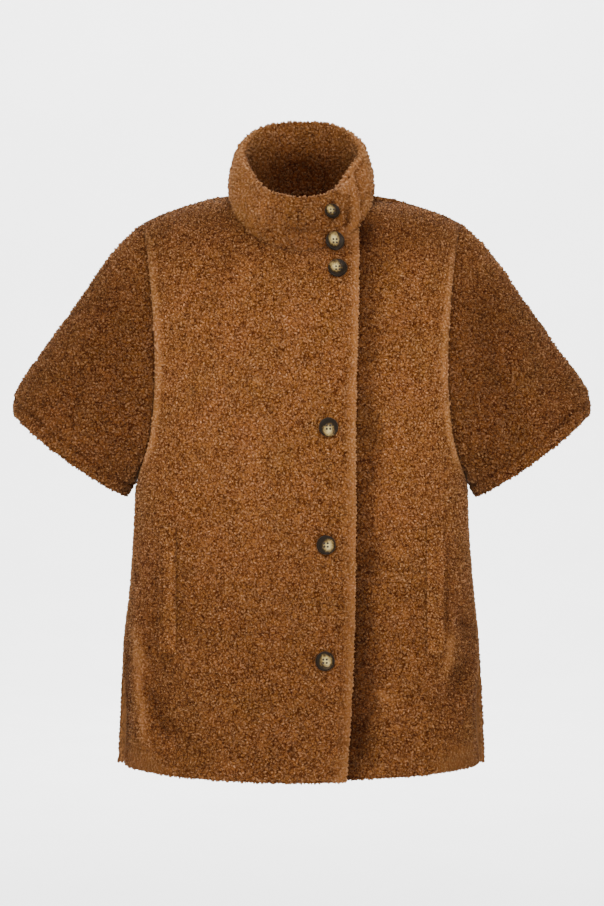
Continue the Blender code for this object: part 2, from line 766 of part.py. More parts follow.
def make_welt(name, hand, tree):
    """A strip laid on the front, made from the front's own points moved out."""
    outer, inner = [], []
    for j in range(WELT_COLUMNS + 1):
        out_column, in_column = [], []
        for i in range(WELT_ROWS + 1):
            x = hand * (WELT_X + WELT_WIDTH * (j / WELT_COLUMNS - 0.5))
            z = WELT_BOTTOM + (WELT_TOP - WELT_BOTTOM) * i / WELT_ROWS
            point, normal = place_on([tree], x, z)
            in_column.append(point + normal * WELT_GAP)
            edge = j in (0, WELT_COLUMNS) or i in (0, WELT_ROWS)
            out_column.append(point + normal * WELT_WALL * (WELT_EDGE if edge else 1.0))
        outer.append(out_column)
        inner.append(in_column)
    close_wall(name, outer, inner, TEDDY)


def button_mesh(radius):
    """A turned disc with a raised rim and a dished middle, its back at height 0."""
    profile = (
        (BUTTON_FLAT, 0.0), (1.00, BUTTON_EDGE_LIFT), (1.00, BUTTON_DISH),
        (0.90, BUTTON_RIM), (0.76, BUTTON_RIM), (0.62, BUTTON_DISH),
    )
    mesh = bmesh.new()
    rings = []
    for share, height in profile:
        ring = []
        for k in range(BUTTON_SIDES):
            turn = 2 * math.pi * k / BUTTON_SIDES
            ring.append(mesh.verts.new((radius * share * math.cos(turn),
                                        radius * share * math.sin(turn), height)))
        rings.append(ring)
    for low, high in zip(rings, rings[1:]):
        for k in range(BUTTON_SIDES):
            n = (k + 1) % BUTTON_SIDES
            mesh.faces.new((low[k], low[n], high[n], high[k]))
    mesh.faces.new(rings[0][::-1])
    mesh.faces.new(rings[-1])
    return mesh


def hole_cutter(name, placed):
    """Four thread holes, as one hidden cutter."""
    mesh = bmesh.new()
    for x in (-HOLE_OFFSET, HOLE_OFFSET):
        for y in (-HOLE_OFFSET, HOLE_OFFSET):
            bmesh.ops.create_cone(mesh, cap_ends=True, segments=HOLE_SIDES,
                                  radius1=HOLE_RADIUS, radius2=HOLE_RADIUS, depth=HOLE_DEPTH,
                                  matrix=Matrix.Translation((x, y, 0)))
    data = bpy.data.meshes.new(name)
    mesh.to_mesh(data)
    mesh.free()
    cutter = bpy.data.objects.new(name, data)
    cutter.matrix_world = placed
    cutter.hide_render = True
    cutter.display_type = "WIRE"
    bpy.context.scene.collection.objects.link(cutter)
    return cutter


def settle(centre, flat, rim, facing):
    """How far out a button's back must sit to clear the cloth, and the mean gap left."""
    heights = [(point - centre).dot(facing) for point in flat + [centre]]
    heights += [(point - centre).dot(facing) - BUTTON_EDGE_LIFT for point in rim]
    return max(heights), max(heights) - sum(heights) / len(heights)


def make_button(button, trees):
    """A button laid on the cloth, at the tilt that leaves the least room under it."""
    centre, _ = place_on(trees, button.x, button.z)
    flat, rim = [], []
    for share, found in ((BUTTON_FLAT, flat), (1.0, rim)):
        for k in range(BUTTON_PROBES):
            turn = 2 * math.pi * k / BUTTON_PROBES
            x = button.x + share * button.radius * math.cos(turn)
            z = button.z + share * button.radius * math.sin(turn)
            found.append(place_on(trees, x, z)[0])
    facings = []
    for tilt in BUTTON_LEANS:
        for turn in BUTTON_SWINGS:
            lean, swing = math.radians(tilt), math.radians(turn)
            facings.append(Vector((math.sin(swing), -math.cos(swing) * math.cos(lean),
                                   math.sin(lean))).normalized())
    facing = min(facings, key=lambda way: settle(centre, flat, rim, way)[1])
    highest, _ = settle(centre, flat, rim, facing)
    turned = facing.to_track_quat("Z", "Y").to_matrix().to_4x4()
    seat = centre + facing * (highest + SEAT_GAP)
    placed = Matrix.Translation(seat) @ turned
    made = finish(button.name, button_mesh(button.radius), HORN)
    made.matrix_world = placed
    cut = made.modifiers.new("holes", "BOOLEAN")
    cut.operation = "DIFFERENCE"
    cut.object = hole_cutter(button.name + "_holes", placed)


def main():
    clear_scene()
    outer_right, outer_left = make_fronts()
    make_back()
    make_sleeve("sleeve_right", -1, SLEEVE_RIGHT_FOLDS)
    make_sleeve("sleeve_left", 1, SLEEVE_LEFT_FOLDS)
    outer_collar = make_collar()
    right_tree, left_tree = surface_tree(outer_right), surface_tree(outer_left)
    make_welt("pocket_right", -1, right_tree)
    make_welt("pocket_left", 1, left_tree)
    carriers = [right_tree, surface_tree(outer_collar)]
    for button in BUTTONS:
        make_button(button, carriers)


main()
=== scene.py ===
import itertools
import math

import bpy
import numpy as np
from mathutils import Matrix, Vector, kdtree
from mathutils.bvhtree import BVHTree


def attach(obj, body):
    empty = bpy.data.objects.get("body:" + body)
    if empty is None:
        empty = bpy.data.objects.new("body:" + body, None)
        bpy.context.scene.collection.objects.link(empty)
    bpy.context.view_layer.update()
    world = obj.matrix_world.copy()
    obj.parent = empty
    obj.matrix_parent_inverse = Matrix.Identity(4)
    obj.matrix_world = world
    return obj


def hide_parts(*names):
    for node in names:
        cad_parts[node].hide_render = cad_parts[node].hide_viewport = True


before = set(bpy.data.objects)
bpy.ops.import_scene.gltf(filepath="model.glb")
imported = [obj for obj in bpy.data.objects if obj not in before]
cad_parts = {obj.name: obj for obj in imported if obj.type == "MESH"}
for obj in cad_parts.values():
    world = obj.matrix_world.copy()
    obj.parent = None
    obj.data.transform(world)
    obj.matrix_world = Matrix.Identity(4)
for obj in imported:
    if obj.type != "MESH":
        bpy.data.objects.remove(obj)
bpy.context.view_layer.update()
print("frame loaded")


# small helpers

def deselectAll():
    if bpy.context.object and bpy.context.object.mode != "OBJECT":
        bpy.ops.object.mode_set(mode="OBJECT")
    bpy.ops.object.select_all(action="DESELECT")


def activate(*pieces):
    deselectAll()
    for piece in pieces:
        piece.select_set(True)
    bpy.context.view_layer.objects.active = pieces[0]


def joinAll(pieces):
    activate(*pieces)
    bpy.ops.object.join()
    return bpy.context.object


def applyModifiers(piece):
    activate(piece)
    for modifier in list(piece.modifiers):
        bpy.ops.object.modifier_apply(modifier=modifier.name)


def readArray(items, key, size=1, kind=float):
    found = np.empty(len(items) * size, dtype=kind)
    items.foreach_get(key, found)
    return found.reshape(-1, size) if size > 1 else found


def readPoints(mesh):
    return readArray(mesh.vertices, "co", 3)


def readNormals(mesh):
    return readArray(mesh.vertex_normals, "vector", 3)


def writePoints(mesh, points):
    mesh.vertices.foreach_set("co", points.ravel())
    mesh.update()


def writeAttribute(mesh, name, values):
    layer = mesh.attributes.get(name) or mesh.attributes.new(name, "FLOAT", "POINT")
    layer.data.foreach_set("value", np.ascontiguousarray(values, dtype=np.float32))


def ease(low, high, values):
    t = np.clip((values - low) / (high - low), 0.0, 1.0)
    return t * t * (3 - 2 * t)


def hump(values, middle, width):
    return np.exp(-((values - middle) / width) ** 2)


def unit(vectors):
    return vectors / np.maximum(np.linalg.norm(vectors, axis=1, keepdims=True), 1e-9)


# repeatable noise, worked out from places in metres

def scatter(cells, salt):
    mixed = (cells[..., 0] * 73856093) ^ (cells[..., 1] * 19349663) ^ (cells[..., 2] * 83492791)
    mixed = (mixed ^ (salt * 40503)) & 0x7fffffff
    mixed = ((mixed ^ (mixed >> 15)) * 1103515245) & 0x7fffffff
    mixed = ((mixed ^ (mixed >> 12)) * 69069) & 0x7fffffff
    return ((mixed >> 7) & 0xffff) / 65535.0


def softNoise(points, size, salt):
    place = points / size
    low = np.floor(place).astype(np.int64)
    t = place - low
    t = t * t * (3 - 2 * t)
    total = np.zeros(len(points))
    for corner in itertools.product((0, 1), repeat=3):
        weight = np.prod(np.where(corner, t, 1 - t), axis=1)
        total += weight * scatter(low + np.array(corner), salt)
    return total * 2 - 1


# materials

def node(tree, kind, place, **values):
    made = tree.nodes.new(kind)
    made.location = place
    for name, value in values.items():
        if name in made.inputs:
            made.inputs[name].default_value = value
        else:
            setattr(made, name, value)
    return made


def newMaterial(name):
    material = bpy.data.materials.new(name)
    material.use_nodes = True
    return material, material.node_tree, material.node_tree.nodes["Principled BSDF"]


def attribute(tree, place, name):
    return node(tree, "ShaderNodeAttribute", place, attribute_name=name).outputs["Fac"]


def noise(tree, place, source, values, output="Fac"):
    made = node(tree, "ShaderNodeTexNoise", place, **values)
    tree.links.new(source, made.inputs["Vector"])
    return made.outputs[output]


def cellEdges(tree, place, source, size):
    made = node(tree, "ShaderNodeTexVoronoi", place, feature="DISTANCE_TO_EDGE", Scale=size)
    tree.links.new(source, made.inputs["Vector"])
    return made.outputs["Distance"]


def combine(tree, place, operation, *values):
    # a math node, whose inputs are plain numbers or the outputs of other nodes
    made = node(tree, "ShaderNodeMath", place, operation=operation)
    for socket, value in zip(made.inputs, values):
        if isinstance(value, (int, float)):
            socket.default_value = value
        else:
            tree.links.new(value, socket)
    return made.outputs[0]


def ramp(tree, place, factor, stops):
    made = node(tree, "ShaderNodeValToRGB", place)
    while len(made.color_ramp.elements) < len(stops):
        made.color_ramp.elements.new(0.5)
    for element, (position, colour) in zip(made.color_ramp.elements, stops):
        element.position = position
        element.color = (*colour, 1)
    tree.links.new(factor, made.inputs["Fac"])
    return made.outputs["Color"]


def multiply(tree, place, first, second):
    made = node(tree, "ShaderNodeMix", place, data_type="RGBA", blend_type="MULTIPLY")
    made.inputs["Factor"].default_value = 1.0
    tree.links.new(first, made.inputs["A"])
    tree.links.new(second, made.inputs["B"])
    return made.outputs["Result"]


def setShader(shader, values):
    for name, value in values.items():
        shader.inputs[name].default_value = value


def addBump(tree, shader, height, look):
    bump = node(tree, "ShaderNodeBump", (-300, -300), Strength=look["bump"],
                Distance=look["bumpDistance"])
    tree.links.new(height, bump.inputs["Height"])
    tree.links.new(bump.outputs["Normal"], shader.inputs["Normal"])


teddyLook = {
    # the fleece's colours by height in the pile; the dark low end is painted shade deep in the pile
    "heights": ((0.0, (0.076, 0.0245, 0.0050)), (0.32, (0.204, 0.0800, 0.0215)),
                (0.66, (0.328, 0.1560, 0.0650)), (1.0, (0.480, 0.2600, 0.1300))),
    "shader": {"Roughness": 0.95, "Specular IOR Level": 0.04, "Sheen Weight": 0.06,
               "Sheen Roughness": 0.5, "Sheen Tint": (1.0, 0.66, 0.38, 1)},
    "nub": {"Scale": 420, "Detail": 1.0, "Roughness": 0.5, "Distortion": 0.8},
    "nubDepth": 0.30,
    "fibre": {"Scale": 900, "Detail": 2.0, "Roughness": 0.6, "Distortion": 0.5},
    "fibreDepth": 0.16,
    "warp": {"Scale": 150.0, "Detail": 1.0},
    "warpReach": 0.010,
    "gate": {"Scale": 120.0, "Detail": 1.0},
    "gateReach": 0.20,
    "gateLow": -0.072,
    # cells and colours of the painted shade between clumps of pile
    "creviceSize": 225,
    "creviceShades": ((0.0, (0.28, 0.190, 0.120)), (0.135, (1.0, 1.0, 1.0))),
    "creviceClosed": 0.35,
    "crackSize": 105,
    "crackShades": ((0.0, (0.56, 0.47, 0.38)), (0.085, (1.0, 1.0, 1.0))),
    "crackClosed": 0.20,
    "curlTints": ((0.0, (0.80, 0.75, 0.72)), (0.5, (1.0, 1.0, 1.0)), (1.0, (1.14, 1.17, 1.22))),
    "patch": {"Scale": 22, "Detail": 3.0},
    "patchTints": ((0.25, (0.91, 0.93, 0.84)), (0.75, (1.07, 1.03, 1.09))),
    # tone: mostly painted light and shade, darker below the middle and lighter above
    "tones": ((0.0, (0.18, 0.12, 0.07)), (0.5, (1.0, 1.0, 1.0)), (1.0, (1.55, 1.60, 1.65))),
    "bump": 0.5,
    "bumpDistance": 0.0012,
}


def makeTeddyMaterial():
    look = teddyLook
    material, tree, shader = newMaterial("teddyPile")
    place = node(tree, "ShaderNodeTexCoord", (-2100, 0)).outputs["Object"]
    fluff = attribute(tree, (-1500, -1250), "fluff")

    # the curl's height, with nubs and fibres in it, picks the colour: the lower, the darker, as painted
    # shade deep in the pile, and the tops lightest
    nub = noise(tree, (-1500, 0), place, look["nub"])
    nub = combine(tree, (-1250, 0), "MULTIPLY_ADD", nub, look["nubDepth"] * 2, -look["nubDepth"])
    fibre = noise(tree, (-1500, -250), place, look["fibre"])
    fibre = combine(tree, (-1250, -250), "MULTIPLY_ADD", fibre, look["fibreDepth"] * 2,
                    -look["fibreDepth"])
    relief = combine(tree, (-1050, -100), "ADD", nub, fibre)
    height = attribute(tree, (-1500, 400), "pile")
    height = combine(tree, (-850, 200), "ADD", height, relief)
    cloth = ramp(tree, (-650, 250), height, look["heights"])

    # painted shade: broken dark lines between clumps of pile, which close where the pile is smooth
    warp = noise(tree, (-1900, -800), place, look["warp"], "Color")
    bent = node(tree, "ShaderNodeVectorMath", (-1700, -800), operation="MULTIPLY_ADD")
    bent.inputs[1].default_value = (look["warpReach"], look["warpReach"], look["warpReach"])
    tree.links.new(warp, bent.inputs[0])
    tree.links.new(place, bent.inputs[2])
    bent = bent.outputs["Vector"]
    gate = noise(tree, (-1500, -1050), place, look["gate"])
    gate = combine(tree, (-1300, -950), "MULTIPLY_ADD", gate, look["gateReach"], look["gateLow"])
    creviceShade = cellEdges(tree, (-1500, -800), bent, look["creviceSize"])
    creviceShade = combine(tree, (-1150, -850), "SUBTRACT", creviceShade, gate)
    creviceShade = combine(tree, (-1150, -1050), "MULTIPLY_ADD", fluff, look["creviceClosed"], creviceShade)
    creviceShade = ramp(tree, (-1000, -850), creviceShade, look["creviceShades"])

    # painted shade in wider spaced partings, where whole clumps part
    crackShade = cellEdges(tree, (-1500, -1450), bent, look["crackSize"])
    crackShade = combine(tree, (-1150, -1300), "MULTIPLY_ADD", fluff, look["crackClosed"], crackShade)
    crackShade = ramp(tree, (-1000, -1300), crackShade, look["crackShades"])

    # each curl and each patch is a little lighter or darker, redder or yellower
    tint = attribute(tree, (-1500, 200), "curlTint")
    tint = ramp(tree, (-1000, -350), tint, look["curlTints"])
    patch = noise(tree, (-1500, -500), place, look["patch"])
    patch = ramp(tree, (-1000, -600), patch, look["patchTints"])
    # the tone attribute brings in the painted light and shade laid over each panel
    tone = attribute(tree, (-1500, 600), "tone")
    tone = ramp(tree, (-1000, 600), tone, look["tones"])
    for k, layer in enumerate((tint, patch, creviceShade, crackShade, tone)):
        cloth = multiply(tree, (-450 + 80 * k, 200 - 50 * k), cloth, layer)
    tree.links.new(cloth, shader.inputs["Base Color"])
    addBump(tree, shader, relief, look)
    setShader(shader, look["shader"])
    return material


hornLook = {
    "colours": ((0.44, (0.430, 0.350, 0.140)), (0.66, (0.250, 0.175, 0.060)),
                (0.82, (0.070, 0.040, 0.012)), (0.92, (0.010, 0.0058, 0.0024))),
    "cloud": {"Scale": 2.6, "Detail": 4.0, "Roughness": 0.6, "Distortion": 1.2},
    "cloudReach": 0.70,
    "grain": {"Scale": 14.0, "Detail": 3.0},
    "bump": 0.12,
    "bumpDistance": 0.0003,
    "shader": {"Roughness": 0.42, "Specular IOR Level": 0.09},
}


def makeHornMaterial():
    # dark horn, with a pale patch that has a cloudy edge
    look = hornLook
    material, tree, shader = newMaterial("hornButton")
    links = tree.links
    across = attribute(tree, (-1300, 200), "acrossPatch")
    up = attribute(tree, (-1300, 0), "upPatch")
    flat = node(tree, "ShaderNodeCombineXYZ", (-1100, 100))
    spread = node(tree, "ShaderNodeCombineXYZ", (-1100, -100))
    for made in (flat, spread):
        links.new(across, made.inputs["X"])
        links.new(up, made.inputs["Y"])
    links.new(attribute(tree, (-1300, -200), "buttonSeed"), spread.inputs["Z"])
    cloud = noise(tree, (-900, -100), spread.outputs["Vector"], look["cloud"])
    away = node(tree, "ShaderNodeVectorMath", (-900, 100), operation="LENGTH")
    links.new(flat.outputs["Vector"], away.inputs[0])
    shifted = combine(tree, (-700, 0), "MULTIPLY_ADD", cloud, look["cloudReach"],
                      away.outputs["Value"])
    colour = ramp(tree, (-450, 100), shifted, look["colours"])
    links.new(colour, shader.inputs["Base Color"])
    grain = noise(tree, (-700, -350), spread.outputs["Vector"], look["grain"])
    addBump(tree, shader, grain, look)
    setShader(shader, look["shader"])
    return material


def makeGrainMaterial(name, look):
    # one noise that moves the colour between two, and the surface where there is a bump
    material, tree, shader = newMaterial(name)
    place = node(tree, "ShaderNodeTexCoord", (-900, 0)).outputs["Object"]
    grain = noise(tree, (-700, 0), place, look["grain"])
    colour = ramp(tree, (-450, 0), grain, look["colours"])
    tree.links.new(colour, shader.inputs["Base Color"])
    if "bump" in look:
        addBump(tree, shader, grain, look)
    setShader(shader, look["shader"])
    return material


threadLook = {
    "grain": {"Scale": 2500.0, "Detail": 2.0},
    # near black: the thread's own dark colour, with the hole's shade painted in
    "colours": ((0.3, (0.006, 0.003, 0.002)), (0.7, (0.022, 0.011, 0.006))),
    "bump": 0.4,
    "bumpDistance": 0.0002,
    "shader": {"Roughness": 0.8},
}

teddy = makeTeddyMaterial()
horn = makeHornMaterial()
thread = makeGrainMaterial("darkThreadHoleShade", threadLook)
print("materials made")


# the cut pieces of cloth, each made from a copy of its solid

panels = {
    "front_right": {"axis": "body", "flat": (0.41, 0.80), "area": 0.245, "held": "hung"},
    "front_left": {"axis": "body", "flat": (0.36, 0.78), "area": 0.215, "held": "hung"},
    "back": {"axis": "body", "flat": (0.62, 0.79), "area": 0.395, "held": "hung"},
    "sleeve_right": {"axis": -1, "flat": (0.62, 0.24), "area": 0.110, "held": "hung"},
    "sleeve_left": {"axis": 1, "flat": (0.62, 0.24), "area": 0.110, "held": "hung"},
    "collar": {"axis": "neck", "flat": (0.62, 0.11), "area": 0.055, "held": "folded"},
    "pocket_right": {"axis": "body", "flat": (0.026, 0.172), "area": 0.0044, "held": "stretched"},
    "pocket_left": {"axis": "body", "flat": (0.026, 0.172), "area": 0.0044, "held": "stretched"},
}
bodyPanels = ("front_right", "front_left", "back")
sleevePanels = ("sleeve_right", "sleeve_left")


def outwardFrom(points, axis):
    # direction away from the middle of the body, the arm or the neck
    if axis == "body":
        middle = np.zeros_like(points)
        middle[:, 2] = np.minimum(points[:, 2] - 0.02, -0.15)
    elif axis == "neck":
        middle = points * np.array((0, 0, 1.0)) + np.array((0, -0.005, 0))
    else:
        start = np.array((axis * 0.200, 0, -0.200))
        along = np.array((axis * 0.3135, 0, -0.345)) - start
        t = np.clip((points - start) @ along / (along @ along), 0, 1.2)
        middle = start + t[:, None] * along
    return unit(points - middle)


# how sharp an edge counts, how close places on it lie, and where each kind of edge is
edges = {
    "sharp": math.radians(50),
    "step": 0.002,
    "seamReach": 0.0032,
    "lapFrom": 0.045,
    "collarEndFrom": 0.055,
    "collarEndFront": -0.02,
    "armholeWithin": 0.228,
    "cuffBeyond": 0.229,
    "hemBelow": -0.742,
    "sideBeyond": 0.205,
    "sideBelow": -0.385,
}


def sharpPlaces(name):
    # places along the sharp edges of a solid, close enough together to measure from
    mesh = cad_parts[name].data
    points = readPoints(mesh)
    keys, normals = {}, {}
    for polygon in mesh.polygons:
        for a, b in polygon.edge_keys:
            ends = sorted(tuple(np.round(points[k], 5)) for k in (a, b))
            normals.setdefault(tuple(ends), []).append(polygon.normal)
    places = []
    for ends, sides in normals.items():
        if len(sides) == 2 and sides[0].angle(sides[1], 0) > edges["sharp"]:
            a, b = np.array(ends[0]), np.array(ends[1])
            count = max(1, int(np.linalg.norm(b - a) / edges["step"]))
            places += [a + (b - a) * k / count for k in range(count + 1)]
    return np.array(places)


def treeOf(places):
    tree = kdtree.KDTree(max(1, len(places)))
    for k, place in enumerate(places):
        tree.insert(place, k)
    if not len(places):
        tree.insert((9, 9, 9), 0)
    tree.balance()
    return tree


def distanceTo(tree, points):
    return np.array([tree.find(point)[2] for point in points])


# where panels meet is a seam, and where they meet nothing is a free edge
sharp = {name: sharpPlaces(name) for name in panels}
sharpTrees = {name: treeOf(places) for name, places in sharp.items()}
seamTrees, freeTrees = {}, {}
for name in panels:
    others = [sharpTrees[other] for other in panels if other != name]
    near = np.min([distanceTo(tree, sharp[name]) for tree in others], axis=0)
    seamTrees[name] = treeOf(sharp[name][near < edges["seamReach"]])
    freeTrees[name] = treeOf(sharp[name][near >= edges["seamReach"]])


def treeWhere(names, test):
    return treeOf(np.concatenate([sharp[name][test(sharp[name])] for name in names]))


edgeTrees = {
    "lap": treeWhere(["front_right"], lambda places: places[:, 0] > edges["lapFrom"]),
    "collarEnd": treeWhere(["collar"], lambda places: (
        (places[:, 0] > edges["collarEndFrom"]) & (places[:, 1] < edges["collarEndFront"]))),
    "armhole": treeWhere(sleevePanels, lambda places: (
        np.abs(places[:, 0]) < edges["armholeWithin"])),
    "cuff": treeWhere(sleevePanels, lambda places: np.abs(places[:, 0]) > edges["cuffBeyond"]),
    "hem": treeWhere(bodyPanels, lambda places: places[:, 2] < edges["hemBelow"]),
    "side": treeWhere(bodyPanels, lambda places: (
        (np.abs(places[:, 0]) > edges["sideBeyond"]) & (places[:, 2] < edges["sideBelow"]))),
}
print("seams found")


def findButtons():
    # each button's place, way round and size, from its own solid
    found = {}
    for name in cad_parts:
        if not name.startswith("button_"):
            continue
        points = readPoints(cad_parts[name].data)
        middle = points.mean(axis=0)
        spread = (points - middle).T @ (points - middle)
        facing = np.linalg.eigh(spread)[1][:, 0]
        facing *= -np.sign(facing[1])
        along = (points - middle) @ facing
        flat = (points - middle) - along[:, None] * facing
        found[name] = {
            "back": middle + facing * along.min(),
            "facing": facing,
            "thick": along.max() - along.min(),
            "radius": np.linalg.norm(flat, axis=1).max(),
        }
    return found


buttons = findButtons()


def buttonDistance(points):
    # how far places are outside the nearest button's rim
    nearest = np.full(len(points), 1.0)
    for facts in buttons.values():
        away = points - facts["back"]
        away -= (away @ facts["facing"])[:, None] * facts["facing"]
        deep = np.abs((points - facts["back"]) @ facts["facing"]) < 0.02
        edge = np.linalg.norm(away, axis=1) - facts["radius"]
        nearest = np.where(deep, np.minimum(nearest, edge), nearest)
    return nearest


# creases laid in: two ends, how wide, how far out, which side of the body
creases = (
    (-0.225, -0.56, -0.207, -0.64, 0.009, 0.003, -1),
    (-0.216, -0.61, -0.205, -0.735, 0.01, 0.0034, -1),
    (-0.209, -0.63, -0.176, -0.705, 0.009, -0.004, -1),
    (-0.19, -0.48, -0.193, -0.6, 0.007, -0.002, -1),
    (-0.176, -0.69, -0.12, -0.735, 0.012, -0.0022, -1),
    (0.205, -0.548, 0.228, -0.59, 0.01, -0.0035, -1),
    (0.224, -0.605, 0.186, -0.668, 0.012, -0.004, -1),
    (0.198, -0.56, 0.19, -0.65, 0.012, 0.003, -1),
    (0.082, -0.64, 0.136, -0.676, 0.011, 0.0025, -1),
    (0.06, -0.69, 0.1, -0.735, 0.013, -0.0025, -1),
    (0.002, -0.062, 0.01, -0.078, 0.004, -0.003, -1),
    (-0.09, -0.08, -0.14, -0.16, 0.018, -0.0015, -1),
    (0.11, -0.085, 0.15, -0.18, 0.018, -0.0015, -1),
    (-0.06, -0.3, -0.075, -0.52, 0.026, 0.0015, -1),
    (0.12, -0.3, 0.132, -0.47, 0.024, 0.0015, -1),
    (-0.278, -0.215, -0.308, -0.3, 0.016, -0.0013, -1),
    (-0.256, -0.215, -0.286, -0.325, 0.015, 0.001, -1),
    (0.236, -0.13, 0.278, -0.285, 0.017, -0.0013, -1),
    (0.262, -0.16, 0.312, -0.305, 0.016, 0.001, -1),
    (-0.099, -0.022, -0.052, -0.066, 0.011, -0.0022, -1),
    (-0.21, -0.56, -0.168, -0.65, 0.013, -0.0035, 1),
    (-0.19, -0.62, -0.15, -0.7, 0.012, 0.0025, 1),
    (0.206, -0.59, 0.158, -0.69, 0.012, -0.0035, 1),
    (0.08, -0.43, 0.1, -0.735, 0.022, -0.002, 1),
    (-0.085, -0.38, -0.112, -0.73, 0.024, 0.002, 1),
    (-0.03, -0.06, 0.06, -0.085, 0.016, -0.0015, 1),
    (-0.262, -0.19, -0.3, -0.3, 0.013, -0.0028, 1),
    (0.25, -0.17, 0.3, -0.3, 0.013, -0.0028, 1),
)

# where sewing holds the pile down, given the same way: the long edges of the welts, and beside the
# vents; the pile is also painted darker along them, as shade in their grooves
sewnLines = (
    (-0.1835, -0.436, -0.1815, -0.612, 0.0024, -0.002, -1),
    (-0.1655, -0.461, -0.165, -0.546, 0.0022, -0.0014, -1),
    (0.191, -0.454, 0.192, -0.585, 0.0024, -0.002, -1),
    (0.176, -0.47, 0.1765, -0.56, 0.0022, -0.0012, -1),
    (-0.231, -0.596, -0.232, -0.745, 0.004, -0.0022, -1),
    (0.235, -0.64, 0.2355, -0.745, 0.004, -0.0022, -1),
)

# the creases of the collar, given the same way
collarCreases = (
    (0.0585, -0.011, 0.06, -0.033, 0.0024, -0.0022, -1),
    (0.06, -0.033, 0.0585, -0.054, 0.0024, -0.0016, -1),
    (-0.04, 0, -0.062, -0.03, 0.009, 0.0014, -1),
    (-0.018, -0.045, 0.03, -0.048, 0.006, -0.0012, -1),
)


def creaseOut(points, listed):
    # how far out the listed creases push each place
    total = np.zeros(len(points))
    flat = points[:, (0, 2)]
    for x1, z1, x2, z2, width, out, side in listed:
        start = np.array((x1, z1))
        along = np.array((x2, z2)) - start
        t = (flat - start) @ along / (along @ along)
        near = start + np.clip(t, 0, 1)[:, None] * along
        away = np.linalg.norm(flat - near, axis=1) / width
        fade = np.clip(1.35 - np.abs(t - 0.5) * 1.7, 0, 1)
        total += out * np.exp(-away ** 2) * fade * (points[:, 1] * side > 0)
    return total


def measures(name, points):
    # how far places are from the seams and edges that shape the pile
    found = {edge: distanceTo(tree, points) for edge, tree in edgeTrees.items()}
    found["seam"] = distanceTo(seamTrees[name], points)
    found["free"] = distanceTo(freeTrees[name], points)
    found["button"] = buttonDistance(points)
    return found


# lines of sewing: which edge each runs along, how far in, how deep, and how wide they all are
stitchLook = {
    "wide": 0.0022,
    "front_right": (("lap", 0.0155, 1.0), ("hem", 0.029, 1.1)),
    "front_left": (("hem", 0.029, 1.1),),
    "back": (("hem", 0.029, 1.1),),
    "sleeve_right": (("cuff", 0.018, 1.2),),
    "sleeve_left": (("cuff", 0.018, 1.2),),
    "collar": (("collarEnd", 0.013, 1.0),),
}


def stitches(name, d):
    # about 1 on a line of sewing, where the pile is held down and painted darker, as shade in the
    # groove
    line = np.zeros(len(d["seam"]))
    for edge, inwards, deep in stitchLook.get(name, ()):
        line = np.maximum(line, deep * hump(d[edge], inwards, stitchLook["wide"]))
    return line


